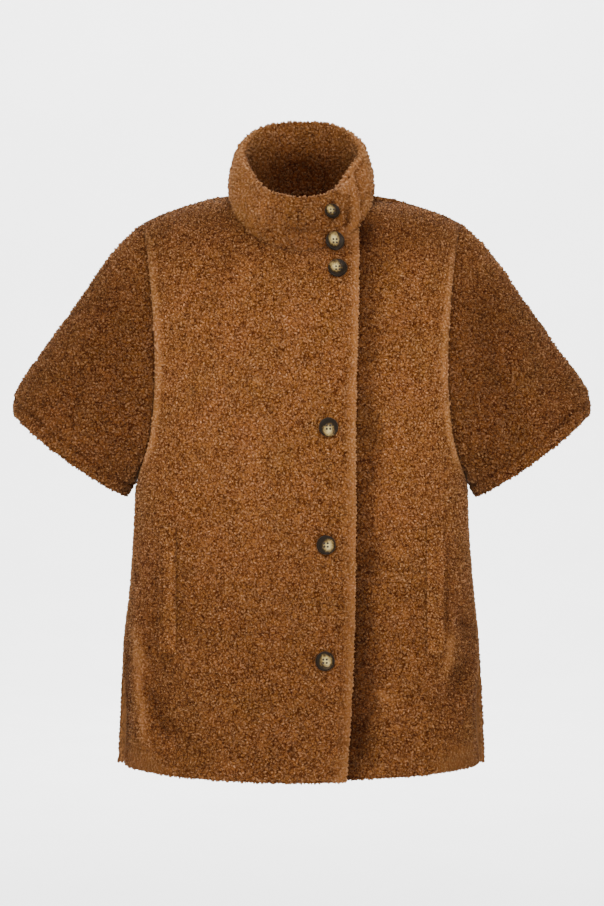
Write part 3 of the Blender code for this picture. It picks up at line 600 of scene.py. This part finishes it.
# for each kind of place, where it is, and then how far out and how smooth the pile is there, and how
# much lighter or darker it is painted, mostly as painted light and shade: line is the middle and width
# of a strip along an edge, near is two distances from an edge, out is two distances from the middle,
# and height is two heights
pileLook = {
    # lines of sewing and the seams sink, and are painted darker, as shade in their grooves
    "stitch": {"rise": -0.0016, "tone": -0.16},
    "seam": {"line": (0, 0.0022), "rise": -0.0008, "tone": -0.06},
    # the roll beside the armhole is painted lighter, as a highlight where it catches the light
    "roll": {"line": (0.0045, 0.0048), "height": (-0.020, -0.110),
             "rise": 0.0016, "fluff": 0.65, "tone": 0.045},
    # near the lower side edges the pile is brushed smooth, and made darker
    "brushedSide": {"near": (0.045, 0.008), "height": (-0.44, -0.52),
                    "fluff": 0.45, "tone": -0.14},
    # the shoulders, the lower body and its lower sides are painted darker, as shade where they turn
    # from the light
    "shoulder": {"height": (-0.140, -0.025), "tone": -0.21},
    "low": {"height": (-0.300, -0.620), "tone": -0.12},
    "lowSide": {"out": (0.130, 0.215), "height": (-0.30, -0.60), "tone": -0.09},
    # the sleeves are painted darker, as shade where they turn from the light: less so at the top, more
    # near the armhole seam; they are lighter towards the cuff edge
    "sleeve": {"tone": -0.235},
    "sleeveTop": {"height": (-0.150, -0.040), "tone": 0.10},
    "sleeveDip": {"line": (0, 0.010), "rise": -0.0012},
    "sleeveSeam": {"line": (0, 0.009), "tone": -0.03},
    "sleeveShade": {"line": (0.050, 0.030), "height": (-0.08, -0.18), "tone": -0.05},
    "cuffEdge": {"near": (0.030, 0.004), "tone": 0.05},
    # the lap edge is painted lighter, as a highlight on its roll, and the band inside it darker
    "lapBand": {"near": (0.0140, 0.0105), "rise": 0.0010, "tone": -0.10},
    "lapEdge": {"near": (0.0085, 0.0030), "tone": 0.09},
    "lapFluff": {"band": 0.18, "edge": 0.30},
    # painted shadow cast by the lap on the front beneath it
    "lapShadow": {"near": (0.042, 0.012), "within": 0.12, "rise": -0.0012, "tone": -0.30},
    "lapShadowWander": {"reach": 0.010, "size": 0.040, "salt": 23},
    # the collar is darker overall, and painted shade darkens it towards its foot
    "collar": {"fluff": 0.08, "tone": -0.155},
    "collarLow": {"height": (0.030, -0.050), "tone": -0.06},
    "collarBand": {"near": (0.0125, 0.0095), "fluff": 0.4},
    "collarInside": {"fluff": 0.45},
    "collarAside": {"out": (0.030, 0.100), "fluff": 0.26},
    # painted shade round each button, where it sits down in the pile
    "buttonShade": {"line": (0.0005, 0.0028), "tone": -0.16},
    "buttonDip": {"line": (-0.001, 0.0030), "rise": -0.0012},
    "buttonRing": {"line": (0.006, 0.0035), "rise": 0.0010},
    # fold ridges are painted lighter and dips darker, as light and shade; sewn lines are painted
    # darker, as shade in their grooves
    "collarFold": {"full": 0.002, "tone": 0.22},
    "fold": {"full": 0.004, "ridgeTone": 0.09, "dipTone": 0.15, "most": 0.5},
    "sewn": {"full": 0.002, "tone": 0.20},
    "ridge": {"folds": (0.0015, 0.0035), "fluff": 0.40},
}


def shareOf(kind, points, away=None):
    # 0 to 1 at each place, for one kind of place in pileLook
    facts = pileLook[kind]
    share = np.ones(len(points))
    if "line" in facts:
        share = share * hump(away, *facts["line"])
    if "near" in facts:
        share = share * ease(*facts["near"], away)
    if "out" in facts:
        share = share * ease(*facts["out"], np.abs(points[:, 0]))
    if "height" in facts:
        share = share * ease(*facts["height"], points[:, 2])
    return share


def lieOfPile(name, points, d):
    # how far the pile stands out, how smooth it is, how much painted light and shade it carries, and
    # how far folds push it
    laid = [("stitch", stitches(name, d)), ("seam", shareOf("seam", points, d["seam"]))]
    if name in bodyPanels:
        laid.append(("roll", shareOf("roll", points, d["armhole"])))
        laid.append(("brushedSide", shareOf("brushedSide", points, d["side"])))
        laid += [(kind, shareOf(kind, points)) for kind in ("shoulder", "low", "lowSide")]
    if name in sleevePanels:
        laid += [(kind, shareOf(kind, points)) for kind in ("sleeve", "sleeveTop")]
        laid += [(kind, shareOf(kind, points, d["armhole"]))
                 for kind in ("sleeveDip", "sleeveSeam", "sleeveShade")]
        laid.append(("cuffEdge", shareOf("cuffEdge", points, d["cuff"])))
    if name == "front_right":
        band = shareOf("lapBand", points, d["lap"])
        edge = shareOf("lapEdge", points, d["lap"])
        laid += [("lapBand", band), ("lapEdge", edge)]
    # the front beneath the lap is painted darker, as the shadow the lap casts on it
    if name == "front_left":
        wander = pileLook["lapShadowWander"]
        reach = d["lap"] - wander["reach"] * softNoise(points, wander["size"], wander["salt"])
        within = points[:, 0] < pileLook["lapShadow"]["within"]
        laid.append(("lapShadow", shareOf("lapShadow", points, reach) * within))
    if name == "collar":
        level = unit(points * np.array((1, 1, 0)))
        outside = ease(-0.2, 0.2, np.einsum("ij,ij->i", level, outwardFrom(points, "neck")))
        laid.append(("collarBand", shareOf("collarBand", points, d["collarEnd"]) * outside))
        laid.append(("collarInside", 1 - outside))
        laid += [(kind, shareOf(kind, points)) for kind in ("collar", "collarLow")]
    laid += [(kind, shareOf(kind, points, d["button"]))
             for kind in ("buttonShade", "buttonDip", "buttonRing")]

    rise, fluff, tone = np.zeros(len(points)), np.zeros(len(points)), np.full(len(points), 0.5)
    for kind, share in laid:
        facts = pileLook[kind]
        rise = rise + facts.get("rise", 0) * share
        fluff = np.maximum(fluff, facts.get("fluff", 0) * share)
        tone = tone + facts.get("tone", 0) * share
    if name == "front_right":
        smooth = pileLook["lapFluff"]
        fluff = np.maximum(fluff, smooth["band"] * band + smooth["edge"] * edge)
    if name == "collar":
        aside = pileLook["collarAside"]["fluff"] * shareOf("collarAside", points)
        fluff = np.maximum(fluff, pileLook["collar"]["fluff"] + aside)
        folds = creaseOut(points, collarCreases)
        # the collar's fold ridges are painted lighter and its dips darker, as light and shade
        fold = pileLook["collarFold"]
        tone += np.clip(folds / fold["full"], -1, 1) * fold["tone"]
    else:
        folds = creaseOut(points, creases)
        # ridges of folds are painted lighter and their dips darker, as light and shade; sewn lines are
        # painted darker, as shade
        fold, sewing = pileLook["fold"], pileLook["sewn"]
        strength = np.where(folds > 0, fold["ridgeTone"], fold["dipTone"])
        tone += strength * np.clip(folds / fold["full"], -1, fold["most"])
        sewn = creaseOut(points, sewnLines)
        rise += sewn
        tone += np.clip(sewn / sewing["full"], -1, 0) * sewing["tone"]
    ridge = pileLook["ridge"]
    fluff = np.maximum(fluff, ease(*ridge["folds"], folds) * ridge["fluff"])
    return rise, np.clip(fluff, 0, 1), np.clip(tone, 0.02, 0.98), folds


clothLook = {
    "smoothing": {"pocket_right": 2, "pocket_left": 2, "collar": 2},
    "sunk": 0.0007,
    "sway": 0.0018,
    "swaySize": 0.090,
    "innerPile": 0.50,
    # the cloth under the curls sits low on the pile colours, painted dark as the shade between curls
    "basePile": 0.26,
    "baseFluff": 0.22,
    "footDown": 0.0009,
    "edgeFade": 0.020,
    "neckSway": 0.3,
    "weltSunk": 0.5,
    "mergeWithin": 0.00002,
    "tintSpread": 0.3,
    "tintSize": 0.006,
    # the inner faces are darker: partly a darker backing, partly painted shade inside the garment
    "innerTone": 0.30,
}


def copyNode(name):
    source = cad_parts[name]
    mesh = source.data.copy()
    made = bpy.data.objects.new("cloth_" + name, mesh)
    bpy.context.scene.collection.objects.link(made)
    mesh.materials.clear()
    activate(made)
    bpy.ops.object.mode_set(mode="EDIT")
    bpy.ops.mesh.select_all(action="SELECT")
    bpy.ops.mesh.remove_doubles(threshold=clothLook["mergeWithin"])
    bpy.ops.mesh.tris_convert_to_quads(face_threshold=edges["sharp"],
                                       shape_threshold=edges["sharp"])
    # rims stay square through the smoothing, so that panels still meet at their seams
    bpy.ops.mesh.select_all(action="DESELECT")
    bpy.ops.mesh.select_mode(type="EDGE")
    bpy.ops.mesh.edges_select_sharp(sharpness=edges["sharp"])
    bpy.ops.transform.edge_crease(value=1.0)
    bpy.ops.object.mode_set(mode="OBJECT")
    return made


def faceFacts(mesh):
    return readArray(mesh.polygons, "center", 3), readArray(mesh.polygons, "normal", 3)


def outerFaces(mesh, axis):
    middles, normals = faceFacts(mesh)
    if axis == "neck":
        return np.ones(len(middles), dtype=bool)
    return np.einsum("ij,ij->i", normals, outwardFrom(middles, axis)) > -0.30


def meanNormals(mesh, chosen):
    # at each point, the mean normal of the chosen faces round it, or nothing if none are
    normals = faceFacts(mesh)[1]
    totals = readArray(mesh.polygons, "loop_total", 1, np.int64)
    corners = readArray(mesh.loops, "vertex_index", 1, np.int64)
    owner = np.repeat(np.arange(len(totals)), totals)
    used = chosen[owner]
    summed = np.stack([np.bincount(corners[used], weights=normals[owner[used], k],
                                   minlength=len(mesh.vertices)) for k in range(3)], axis=1)
    return unit(summed)


def collarShadeAndRimLight(points, normals):
    # painted shade: the inside of the collar darkens downwards, and its rim is painted lightest, as a
    # highlight
    inside = -np.einsum("ij,ij->i", normals, outwardFrom(points, "neck"))
    depth = ease(0.112, 0.045, points[:, 2])
    rim = hump(inside, 0, 0.55) * ease(0.3, 0.8, normals[:, 2])
    depth = depth * (0.55 + 0.45 * hump(points[:, 0], 0, 0.055))
    return -(0.02 + 0.38 * depth) * ease(0.1, 0.5, inside) + 0.08 * rim


def makeCloth(name):
    facts = panels[name]
    piece = copyNode(name)
    smoother = piece.modifiers.new("smooth", "SUBSURF")
    smoother.levels = smoother.render_levels = clothLook["smoothing"].get(name, 1)
    applyModifiers(piece)
    mesh = piece.data
    mesh.shade_smooth()

    points, normals = readPoints(mesh), readNormals(mesh)
    d = measures(name, points)
    rise, fluff, tone, folds = lieOfPile(name, points, d)
    loose = ease(0.0, clothLook["edgeFade"], np.minimum(d["seam"], d["free"]))

    # slow waves and creases move both faces together, and die out towards the edges
    facing = unit(points * np.array((0.3, 2.0, 0)))
    sway = clothLook["sway"] * softNoise(points, clothLook["swaySize"], 11)
    if facts["axis"] == "neck":
        sway = sway * clothLook["neckSway"]
    points = points + facing * ((sway + folds) * loose)[:, None]

    middles, faceNormals = faceFacts(mesh)
    if facts["axis"] == "neck":
        shown = faceNormals[:, 2] > -0.5
        foot = meanNormals(mesh, ~shown)
        points = points + foot * clothLook["footDown"]
    else:
        shown = np.einsum("ij,ij->i", faceNormals, outwardFrom(middles, facts["axis"])) > 0.30
    through = meanNormals(mesh, shown)
    outer = np.linalg.norm(through, axis=1)
    squeeze = clothLook["weltSunk"] if name.startswith("pocket") else 1.0
    points = points - through * (clothLook["sunk"] * squeeze - rise * loose)[:, None]
    writePoints(mesh, points)
    if facts["axis"] == "neck":
        tone = tone + collarShadeAndRimLight(points, normals)
    base = clothLook["basePile"] + clothLook["baseFluff"] * fluff
    writeAttribute(mesh, "pile", base * outer + clothLook["innerPile"] * (1 - outer))
    tint = 0.5 + clothLook["tintSpread"] * softNoise(points, clothLook["tintSize"], 17)
    writeAttribute(mesh, "curlTint", tint)
    writeAttribute(mesh, "tone", tone * outer + clothLook["innerTone"] * (1 - outer))
    writeAttribute(mesh, "fluff", fluff)
    mesh.materials.append(teddy)

    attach(piece, "root")
    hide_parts(name)
    print(name, "cloth", len(mesh.polygons), "faces")
    return piece


clothPieces = {name: makeCloth(name) for name in panels}
print("cloth made")


# the curls: one short bent lock is modelled, then laid thickly over each panel

curlLook = {
    "length": 0.0054,
    "thick": 0.00160,
    "bend": 125,
    "rise": 0.0007,
    "spacing": {"sleeve_right": 0.0042, "sleeve_left": 0.0042, "collar": 0.0046},
    "usualSpacing": 0.0040,
    "size": {"sleeve_right": 1.10, "sleeve_left": 1.10, "collar": 1.20},
    "sink": 0.0003,
    "sizeSpread": 0.30,
    "tilt": 0.30,
    # each curl is painted darker at its foot and lighter at its top, as shade and light on it
    "lowPile": 0.34,
    "topPile": 0.74,
    "pileSpread": 0.20,
    "mostCurls": 15000,
    "hidden": 0.0045,
    "clear": 0.0003,
    "tries": 5,
    "crowding": 0.80,
    "brushed": 0.85,
    "pressed": 0.45,
    "flattened": 0.25,
    "smoothPile": 0.58,
    "pileEvening": 0.80,
    "smoothTint": 0.55,
    "tintEvening": 0.6,
}


def modelCurl():
    # a three-sided bar, drawn to a point at each end and bent into an arc
    deselectAll()
    bpy.ops.mesh.primitive_cylinder_add(vertices=3, radius=1, depth=2, end_fill_type="TRIFAN")
    curl = bpy.context.object
    mesh = curl.data
    points = readPoints(mesh)
    tips = np.abs(points[:, 0]) + np.abs(points[:, 1]) < 0.01
    along = np.where(tips, 1.0, 0.45) * np.sign(points[:, 2])
    radius = curlLook["length"] / math.radians(curlLook["bend"])
    turn = along * math.radians(curlLook["bend"]) / 2
    spread = np.where(tips, 0.0, curlLook["thick"])
    arch = curlLook["rise"] * (1 - along ** 2)
    shaped = np.empty_like(points)
    shaped[:, 0] = (radius + spread * points[:, 0]) * np.sin(turn)
    shaped[:, 1] = (radius + spread * points[:, 0]) * np.cos(turn) - radius * 0.75
    shaped[:, 2] = spread * points[:, 1] + arch
    writePoints(mesh, shaped)
    activate(curl)
    bpy.ops.object.mode_set(mode="EDIT")
    bpy.ops.mesh.select_all(action="SELECT")
    bpy.ops.mesh.quads_convert_to_tris()
    bpy.ops.mesh.normals_make_consistent(inside=False)
    bpy.ops.object.mode_set(mode="OBJECT")
    corners = readArray(mesh.loops, "vertex_index", 1, np.int64)
    shape = readPoints(mesh)
    bpy.data.objects.remove(curl)
    return shape, corners.reshape(-1, 3)


def spotsOn(mesh, chosen, spacing, salt):
    # even spots over the chosen faces: many are thrown at random, and then thinned out
    mesh.calc_loop_triangles()
    triangles = readArray(mesh.loop_triangles, "vertices", 3, np.int64)
    owners = readArray(mesh.loop_triangles, "polygon_index", 1, np.int64)
    triangles = triangles[chosen[owners]]
    points, normals = readPoints(mesh), readNormals(mesh)
    a, b, c = (points[triangles[:, k]] for k in range(3))
    area = np.linalg.norm(np.cross(b - a, c - a), axis=1) / 2
    chance = np.random.default_rng(salt)
    wanted = int(area.sum() / spacing ** 2 * curlLook["tries"])
    picked = chance.choice(len(area), size=wanted, p=area / area.sum())
    u, v = chance.random(wanted), chance.random(wanted)
    over = u + v > 1
    u, v = np.where(over, 1 - u, u)[:, None], np.where(over, 1 - v, v)[:, None]
    spot = a[picked] * (1 - u - v) + b[picked] * u + c[picked] * v
    n0, n1, n2 = (normals[triangles[picked, k]] for k in range(3))
    facing = unit(n0 * (1 - u - v) + n1 * u + n2 * v)
    kept = thinOut(spot, spacing * curlLook["crowding"])
    return spot[kept], facing[kept], chance


def isCrowded(place, cell, cells, spot, reach):
    x, y, z = cell
    for dx, dy, dz in itertools.product((-1, 0, 1), repeat=3):
        for taken in cells.get((x + dx, y + dy, z + dz), ()):
            away = spot[taken] - place
            if away @ away < reach * reach:
                return True
    return False


def thinOut(spot, reach):
    # spots are taken in turn, and one that is too close to a taken one is left out
    cells, kept = {}, []
    for k, cell in enumerate(map(tuple, np.floor(spot / reach).astype(np.int64).tolist())):
        if not isCrowded(spot[k], cell, cells, spot, reach):
            cells.setdefault(cell, []).append(k)
            kept.append(k)
    return kept


def coveredBy(name, spots, facing):
    # spots that another solid lies over, where a curl would never be seen
    points, faces, first = [], [], 0
    for other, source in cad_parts.items():
        if other == name or source.type != "MESH":
            continue
        own = readPoints(source.data)
        points += [Vector(place) for place in own]
        faces += [[first + k for k in polygon.vertices] for polygon in source.data.polygons]
        first += len(own)
    tree = BVHTree.FromPolygons(points, faces)
    starts = spots + facing * curlLook["clear"]
    return np.array([
        tree.ray_cast(Vector(start), Vector(way), curlLook["hidden"])[0] is not None
        for start, way in zip(starts, facing)])


def layCurls(name, shape, corners):
    facts = panels[name]
    cloth = clothPieces[name]
    spots, facing, chance = spotsOn(
        cloth.data, outerFaces(cloth.data, facts["axis"]),
        curlLook["spacing"].get(name, curlLook["usualSpacing"]), sum(map(ord, name)))
    seen = ~coveredBy(name, spots, facing)
    spots, facing = spots[seen], facing[seen]
    count = len(spots)
    d = measures(name, spots)
    _, fluff, tone, _ = lieOfPile(name, spots, d)
    line = stitches(name, d)
    if facts["axis"] == "neck":
        tone = tone + collarShadeAndRimLight(spots, facing)

    side = unit(np.cross(facing, np.array((0.31, 0.12, 0.94))))
    across = np.cross(facing, side)
    angle = chance.random(count) * 2 * math.pi
    along = side * np.cos(angle)[:, None] + across * np.sin(angle)[:, None]
    if name in bodyPanels:
        # brushed down towards the lower side seams
        brushed = ease(0.050, 0.012, d["side"]) * ease(-0.42, -0.52, spots[:, 2])
        brushed = (curlLook["brushed"] * brushed)[:, None]
        down = np.cross(facing, unit(np.cross(facing, np.array((0.0, 0.0, 1.0)))))
        along = unit(along * (1 - brushed) + down * brushed)
    tilt = (chance.random(count)[:, None] - 0.5) * 2 * curlLook["tilt"]
    along = unit(along + facing * tilt)
    across = unit(np.cross(facing, along))
    size = 1 + (chance.random(count) - 0.5) * 2 * curlLook["sizeSpread"]
    size = size * curlLook["size"].get(name, 1.0)
    high = size * (1 - curlLook["pressed"] * line) * (1 - curlLook["flattened"] * fluff)
    moved = ((along[:, None, :] * shape[None, :, 0, None]
              + across[:, None, :] * shape[None, :, 1, None]) * size[:, None, None]
             + facing[:, None, :] * shape[None, :, 2, None] * high[:, None, None])
    points = (spots - facing * curlLook["sink"])[:, None, :] + moved
    # the foot of each curl is painted darker and its top lighter, as shade and light
    low, top = shape[:, 2].min(), shape[:, 2].max()
    share = (shape[:, 2] - low) / (top - low)
    rises = curlLook["topPile"] - curlLook["lowPile"]
    pile = curlLook["lowPile"] + rises * share[None, :]
    pile = pile + curlLook["pileSpread"] * (chance.random(count)[:, None] - 0.5)
    pile = pile + (curlLook["smoothPile"] - pile) * curlLook["pileEvening"] * fluff[:, None]
    tint = chance.random(count)
    tint = tint + (curlLook["smoothTint"] - tint) * curlLook["tintEvening"] * fluff

    parts = max(1, math.ceil(count / curlLook["mostCurls"]))
    order = np.argsort(-spots[:, 2], kind="stable")
    pieces = []
    for part, chosen in enumerate(np.array_split(order, parts)):
        label = "curls_" + name + ("_%d" % (part + 1) if parts > 1 else "")
        values = {key: np.repeat(value[chosen], len(shape))
                  for key, value in (("curlTint", tint), ("tone", tone), ("fluff", fluff))}
        values["pile"] = pile[chosen].ravel()
        pieces.append(joinCurls(label, points[chosen], corners, values))
    print(name, count, "curls")
    return pieces


def joinCurls(label, points, corners, values):
    count, size = points.shape[:2]
    faces = (corners[None, :, :] + np.arange(count)[:, None, None] * size).reshape(-1, 3)
    mesh = bpy.data.meshes.new(label)
    mesh.vertices.add(count * size)
    mesh.loops.add(len(faces) * 3)
    mesh.polygons.add(len(faces))
    mesh.vertices.foreach_set("co", points.reshape(-1, 3).ravel())
    mesh.loops.foreach_set("vertex_index", faces.ravel())
    mesh.polygons.foreach_set("loop_start", np.arange(len(faces)) * 3)
    mesh.update(calc_edges=True)
    mesh.shade_smooth()
    for key, value in values.items():
        writeAttribute(mesh, key, value)
    mesh.materials.append(teddy)
    curls = bpy.data.objects.new(label, mesh)
    bpy.context.scene.collection.objects.link(curls)
    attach(curls, "root")
    return curls


curlShape, curlCorners = modelCurl()
curlPieces = {name: layCurls(name, curlShape, curlCorners) for name in panels}
print("curls laid")


# the buttons: a turned disc with a raised rim, a dished middle and four thread holes

buttonLook = {
    "sides": 48,
    "profile": ((1.00, 0.28), (1.00, 0.72), (0.97, 0.92), (0.90, 1.00), (0.80, 0.97),
                (0.72, 0.80), (0.66, 0.66), (0.40, 0.60)),
    "holeRadius": 0.0016,
    "holeOut": 0.0031,
    "threadRadius": 0.00148,
    "threadFlat": 0.45,
    "threadLevel": 0.50,
    "floor": 0.80,
    "dimple": -0.02,
    "soften": 0.00018,
    "patchSquash": 0.86,
}

# the pale patch on each button, as shares of its radius
buttonPatches = {
    "button_1": {"patch": (-0.22, 0.18), "grow": 1.12, "turn": 20, "seed": 1.3},
    "button_2": {"patch": (-0.12, 0.20), "grow": 1.16, "turn": 5, "seed": 4.1},
    "button_3": {"patch": (-0.20, 0.16), "grow": 1.14, "turn": 30, "seed": 7.7},
    "button_4": {"patch": (0.02, -0.32), "grow": 1.14, "turn": 12, "seed": 9.2},
    "button_5": {"patch": (0.24, -0.04), "grow": 1.12, "turn": 0, "seed": 12.5},
    "button_6": {"patch": (0.10, 0.02), "grow": 1.16, "turn": 40, "seed": 15.9},
}


def makeButton(name):
    facts, patch = buttons[name], buttonPatches[name]
    radius, thick = facts["radius"], facts["thick"]
    deselectAll()
    bpy.ops.mesh.primitive_circle_add(vertices=buttonLook["sides"], radius=radius * buttonLook["floor"],
                                      fill_type="NGON", location=(0, 0, 0))
    piece = bpy.context.object
    piece.name = "turned_" + name
    bpy.ops.object.mode_set(mode="EDIT")
    bpy.ops.mesh.select_all(action="SELECT")
    last, height = buttonLook["floor"], 0.0
    for share, level in buttonLook["profile"]:
        bpy.ops.mesh.extrude_region_move(TRANSFORM_OT_translate={
            "value": (0, 0, (level - height) * thick)})
        bpy.ops.transform.resize(value=(share / last, share / last, 1))
        last, height = share, level
    bpy.ops.mesh.poke(offset=buttonLook["dimple"] * thick)
    bpy.ops.mesh.select_all(action="SELECT")
    bpy.ops.mesh.normals_make_consistent(inside=False)
    bpy.ops.object.mode_set(mode="OBJECT")
    cutHoles(piece, thick)
    smooth = piece.modifiers.new("soften", "BEVEL")
    smooth.width = buttonLook["soften"]
    smooth.segments = 2
    smooth.limit_method = "ANGLE"
    smooth.angle_limit = math.radians(40)
    applyModifiers(piece)
    mesh = piece.data
    bpy.ops.object.shade_smooth_by_angle(angle=math.radians(35))

    points = readPoints(mesh)
    turn = math.radians(patch["turn"])
    wide = (points[:, 0] / radius - patch["patch"][0]) / patch["grow"]
    tall = (points[:, 1] / radius - patch["patch"][1]) / patch["grow"]
    writeAttribute(mesh, "acrossPatch", wide * math.cos(turn) + tall * math.sin(turn))
    up = (tall * math.cos(turn) - wide * math.sin(turn)) * buttonLook["patchSquash"]
    writeAttribute(mesh, "upPatch", up)
    writeAttribute(mesh, "buttonSeed", np.full(len(points), patch["seed"]))
    mesh.materials.append(horn)
    placed = placeOf(facts)
    mesh.transform(placed)
    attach(piece, "root")
    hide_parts(name)
    makeThread(name, facts, placed)


def placeOf(facts):
    # the matrix that lays a button, made flat at the origin, where its solid is
    facing = Vector(facts["facing"])
    turned = facing.to_track_quat("Z", "Y").to_matrix().to_4x4()
    return Matrix.Translation(Vector(facts["back"])) @ turned


def holePlaces():
    turns = [math.radians(45 + 90 * k) for k in range(4)]
    return [(buttonLook["holeOut"] * math.cos(turn), buttonLook["holeOut"] * math.sin(turn))
            for turn in turns]


def cutHoles(piece, thick):
    cutters = []
    for place in holePlaces():
        deselectAll()
        bpy.ops.mesh.primitive_cylinder_add(vertices=16, radius=buttonLook["holeRadius"],
                                            depth=thick * 4, location=(*place, 0))
        cutters.append(bpy.context.object)
    cutter = joinAll(cutters)
    cut = piece.modifiers.new("holes", "BOOLEAN")
    cut.operation = "DIFFERENCE"
    cut.object = cutter
    applyModifiers(piece)
    bpy.data.objects.remove(cutter)


def makeThread(name, facts, placed):
    # a dark knot of thread fills the foot of each hole; its near black colour also stands for painted
    # shade in the hole
    level = facts["thick"] * buttonLook["threadLevel"]
    made = []
    for place in holePlaces():
        deselectAll()
        bpy.ops.mesh.primitive_ico_sphere_add(subdivisions=2, radius=buttonLook["threadRadius"],
                                              location=(*place, level))
        bpy.ops.transform.resize(value=(1, 1, buttonLook["threadFlat"]))
        made.append(bpy.context.object)
    piece = joinAll(made)
    bpy.ops.object.transform_apply(location=True, rotation=True, scale=True)
    piece.name = "thread_" + name
    piece.data.transform(placed)
    piece.data.shade_smooth()
    piece.data.materials.append(thread)
    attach(piece, "root")


for name in buttons:
    makeButton(name)
print("buttons made")


# the camera, the lights and the room

view = {
    "imageWidth": 604,
    "imageHeight": 906,
    "distance": 2.6,
    "height": -0.340,
    "across": 0.0007,
    "metresHigh": 1.232,
    "sensor": 36.0,
}


def makeCamera():
    data = bpy.data.cameras.new("camera")
    data.sensor_fit = "VERTICAL"
    data.sensor_height = view["sensor"]
    data.sensor_width = view["sensor"] * view["imageWidth"] / view["imageHeight"]
    data.lens = view["sensor"] * view["distance"] / view["metresHigh"]
    camera = bpy.data.objects.new("camera", data)
    bpy.context.scene.collection.objects.link(camera)
    camera.location = (view["across"], -view["distance"], view["height"])
    camera.rotation_euler = (math.radians(90), 0, 0)
    bpy.context.scene.camera = camera


lights = {
    "key": {"place": (-0.22, -2.1, 0.42), "aim": (0, 0, -0.26), "size": 0.95, "power": 59},
    "fill": {"place": (1.5, -2.2, 0.1), "aim": (0, 0, -0.36), "size": 1.6, "power": 14},
    "top": {"place": (0.0, -0.5, 1.9), "aim": (0, 0, -0.2), "size": 1.2, "power": 5},
    "rear": {"place": (0.6, 1.7, 1.1), "aim": (0, 0.3, -0.3), "size": 1.3, "power": 10},
    "backdrop": {"place": (0.0, 2.6, 3.4), "aim": (0, 5.2, -0.9), "size": 3.0, "power": 900},
}


def makeLights():
    for name, facts in lights.items():
        data = bpy.data.lights.new(name, "AREA")
        data.shape = "SQUARE"
        data.size = facts["size"]
        data.energy = facts["power"]
        lamp = bpy.data.objects.new(name, data)
        bpy.context.scene.collection.objects.link(lamp)
        lamp.location = facts["place"]
        lamp.visible_camera = False
        aim = Vector(facts["aim"]) - lamp.location
        lamp.rotation_euler = aim.to_track_quat("-Z", "Y").to_euler()


room = {"floor": -1.25, "wide": 6.5, "bend": 2.0, "high": 4.5, "sides": 64, "steps": 10}
paperLook = {
    "grain": {"Scale": 3.0, "Detail": 2.0},
    "colours": ((0.3, (0.90, 0.90, 0.90)), (0.7, (0.93, 0.93, 0.93))),
    "shader": {"Roughness": 0.9},
}
worldStrength = 0.40


def makeRoom():
    # a pale round floor that bends up into a wall all the way round
    deselectAll()
    bpy.ops.mesh.primitive_circle_add(vertices=room["sides"], radius=room["wide"] - room["bend"],
                                      fill_type="NGON", location=(0, 0, room["floor"]))
    sheet = bpy.context.object
    sheet.name = "paleFloor"
    bpy.ops.object.mode_set(mode="EDIT")
    bpy.ops.mesh.select_all(action="SELECT")
    bpy.ops.mesh.normals_make_consistent(inside=False)
    bpy.ops.mesh.select_mode(type="EDGE")
    bpy.ops.mesh.region_to_loop()
    last, height = room["wide"] - room["bend"], 0.0
    for k in range(1, room["steps"] + 1):
        turn = math.pi / 2 * k / room["steps"]
        reach = room["wide"] - room["bend"] * (1 - math.sin(turn))
        level = room["bend"] * (1 - math.cos(turn))
        bpy.ops.mesh.extrude_region_move(TRANSFORM_OT_translate={"value": (0, 0, level - height)})
        bpy.ops.transform.resize(value=(reach / last, reach / last, 1))
        last, height = reach, level
    bpy.ops.mesh.extrude_region_move(TRANSFORM_OT_translate={"value": (0, 0, room["high"])})
    bpy.ops.object.mode_set(mode="OBJECT")
    bpy.ops.object.transform_apply(location=True, rotation=True, scale=True)
    sheet.data.shade_smooth()
    sheet.data.materials.append(makeGrainMaterial("palePaper", paperLook))


def makeWorld():
    world = bpy.data.worlds.new("studio")
    world.use_nodes = True
    background = world.node_tree.nodes["Background"]
    background.inputs["Color"].default_value = (1, 1, 1, 1)
    background.inputs["Strength"].default_value = worldStrength
    bpy.context.scene.world = world


makeCamera()
makeLights()
makeRoom()
makeWorld()
print("studio made")
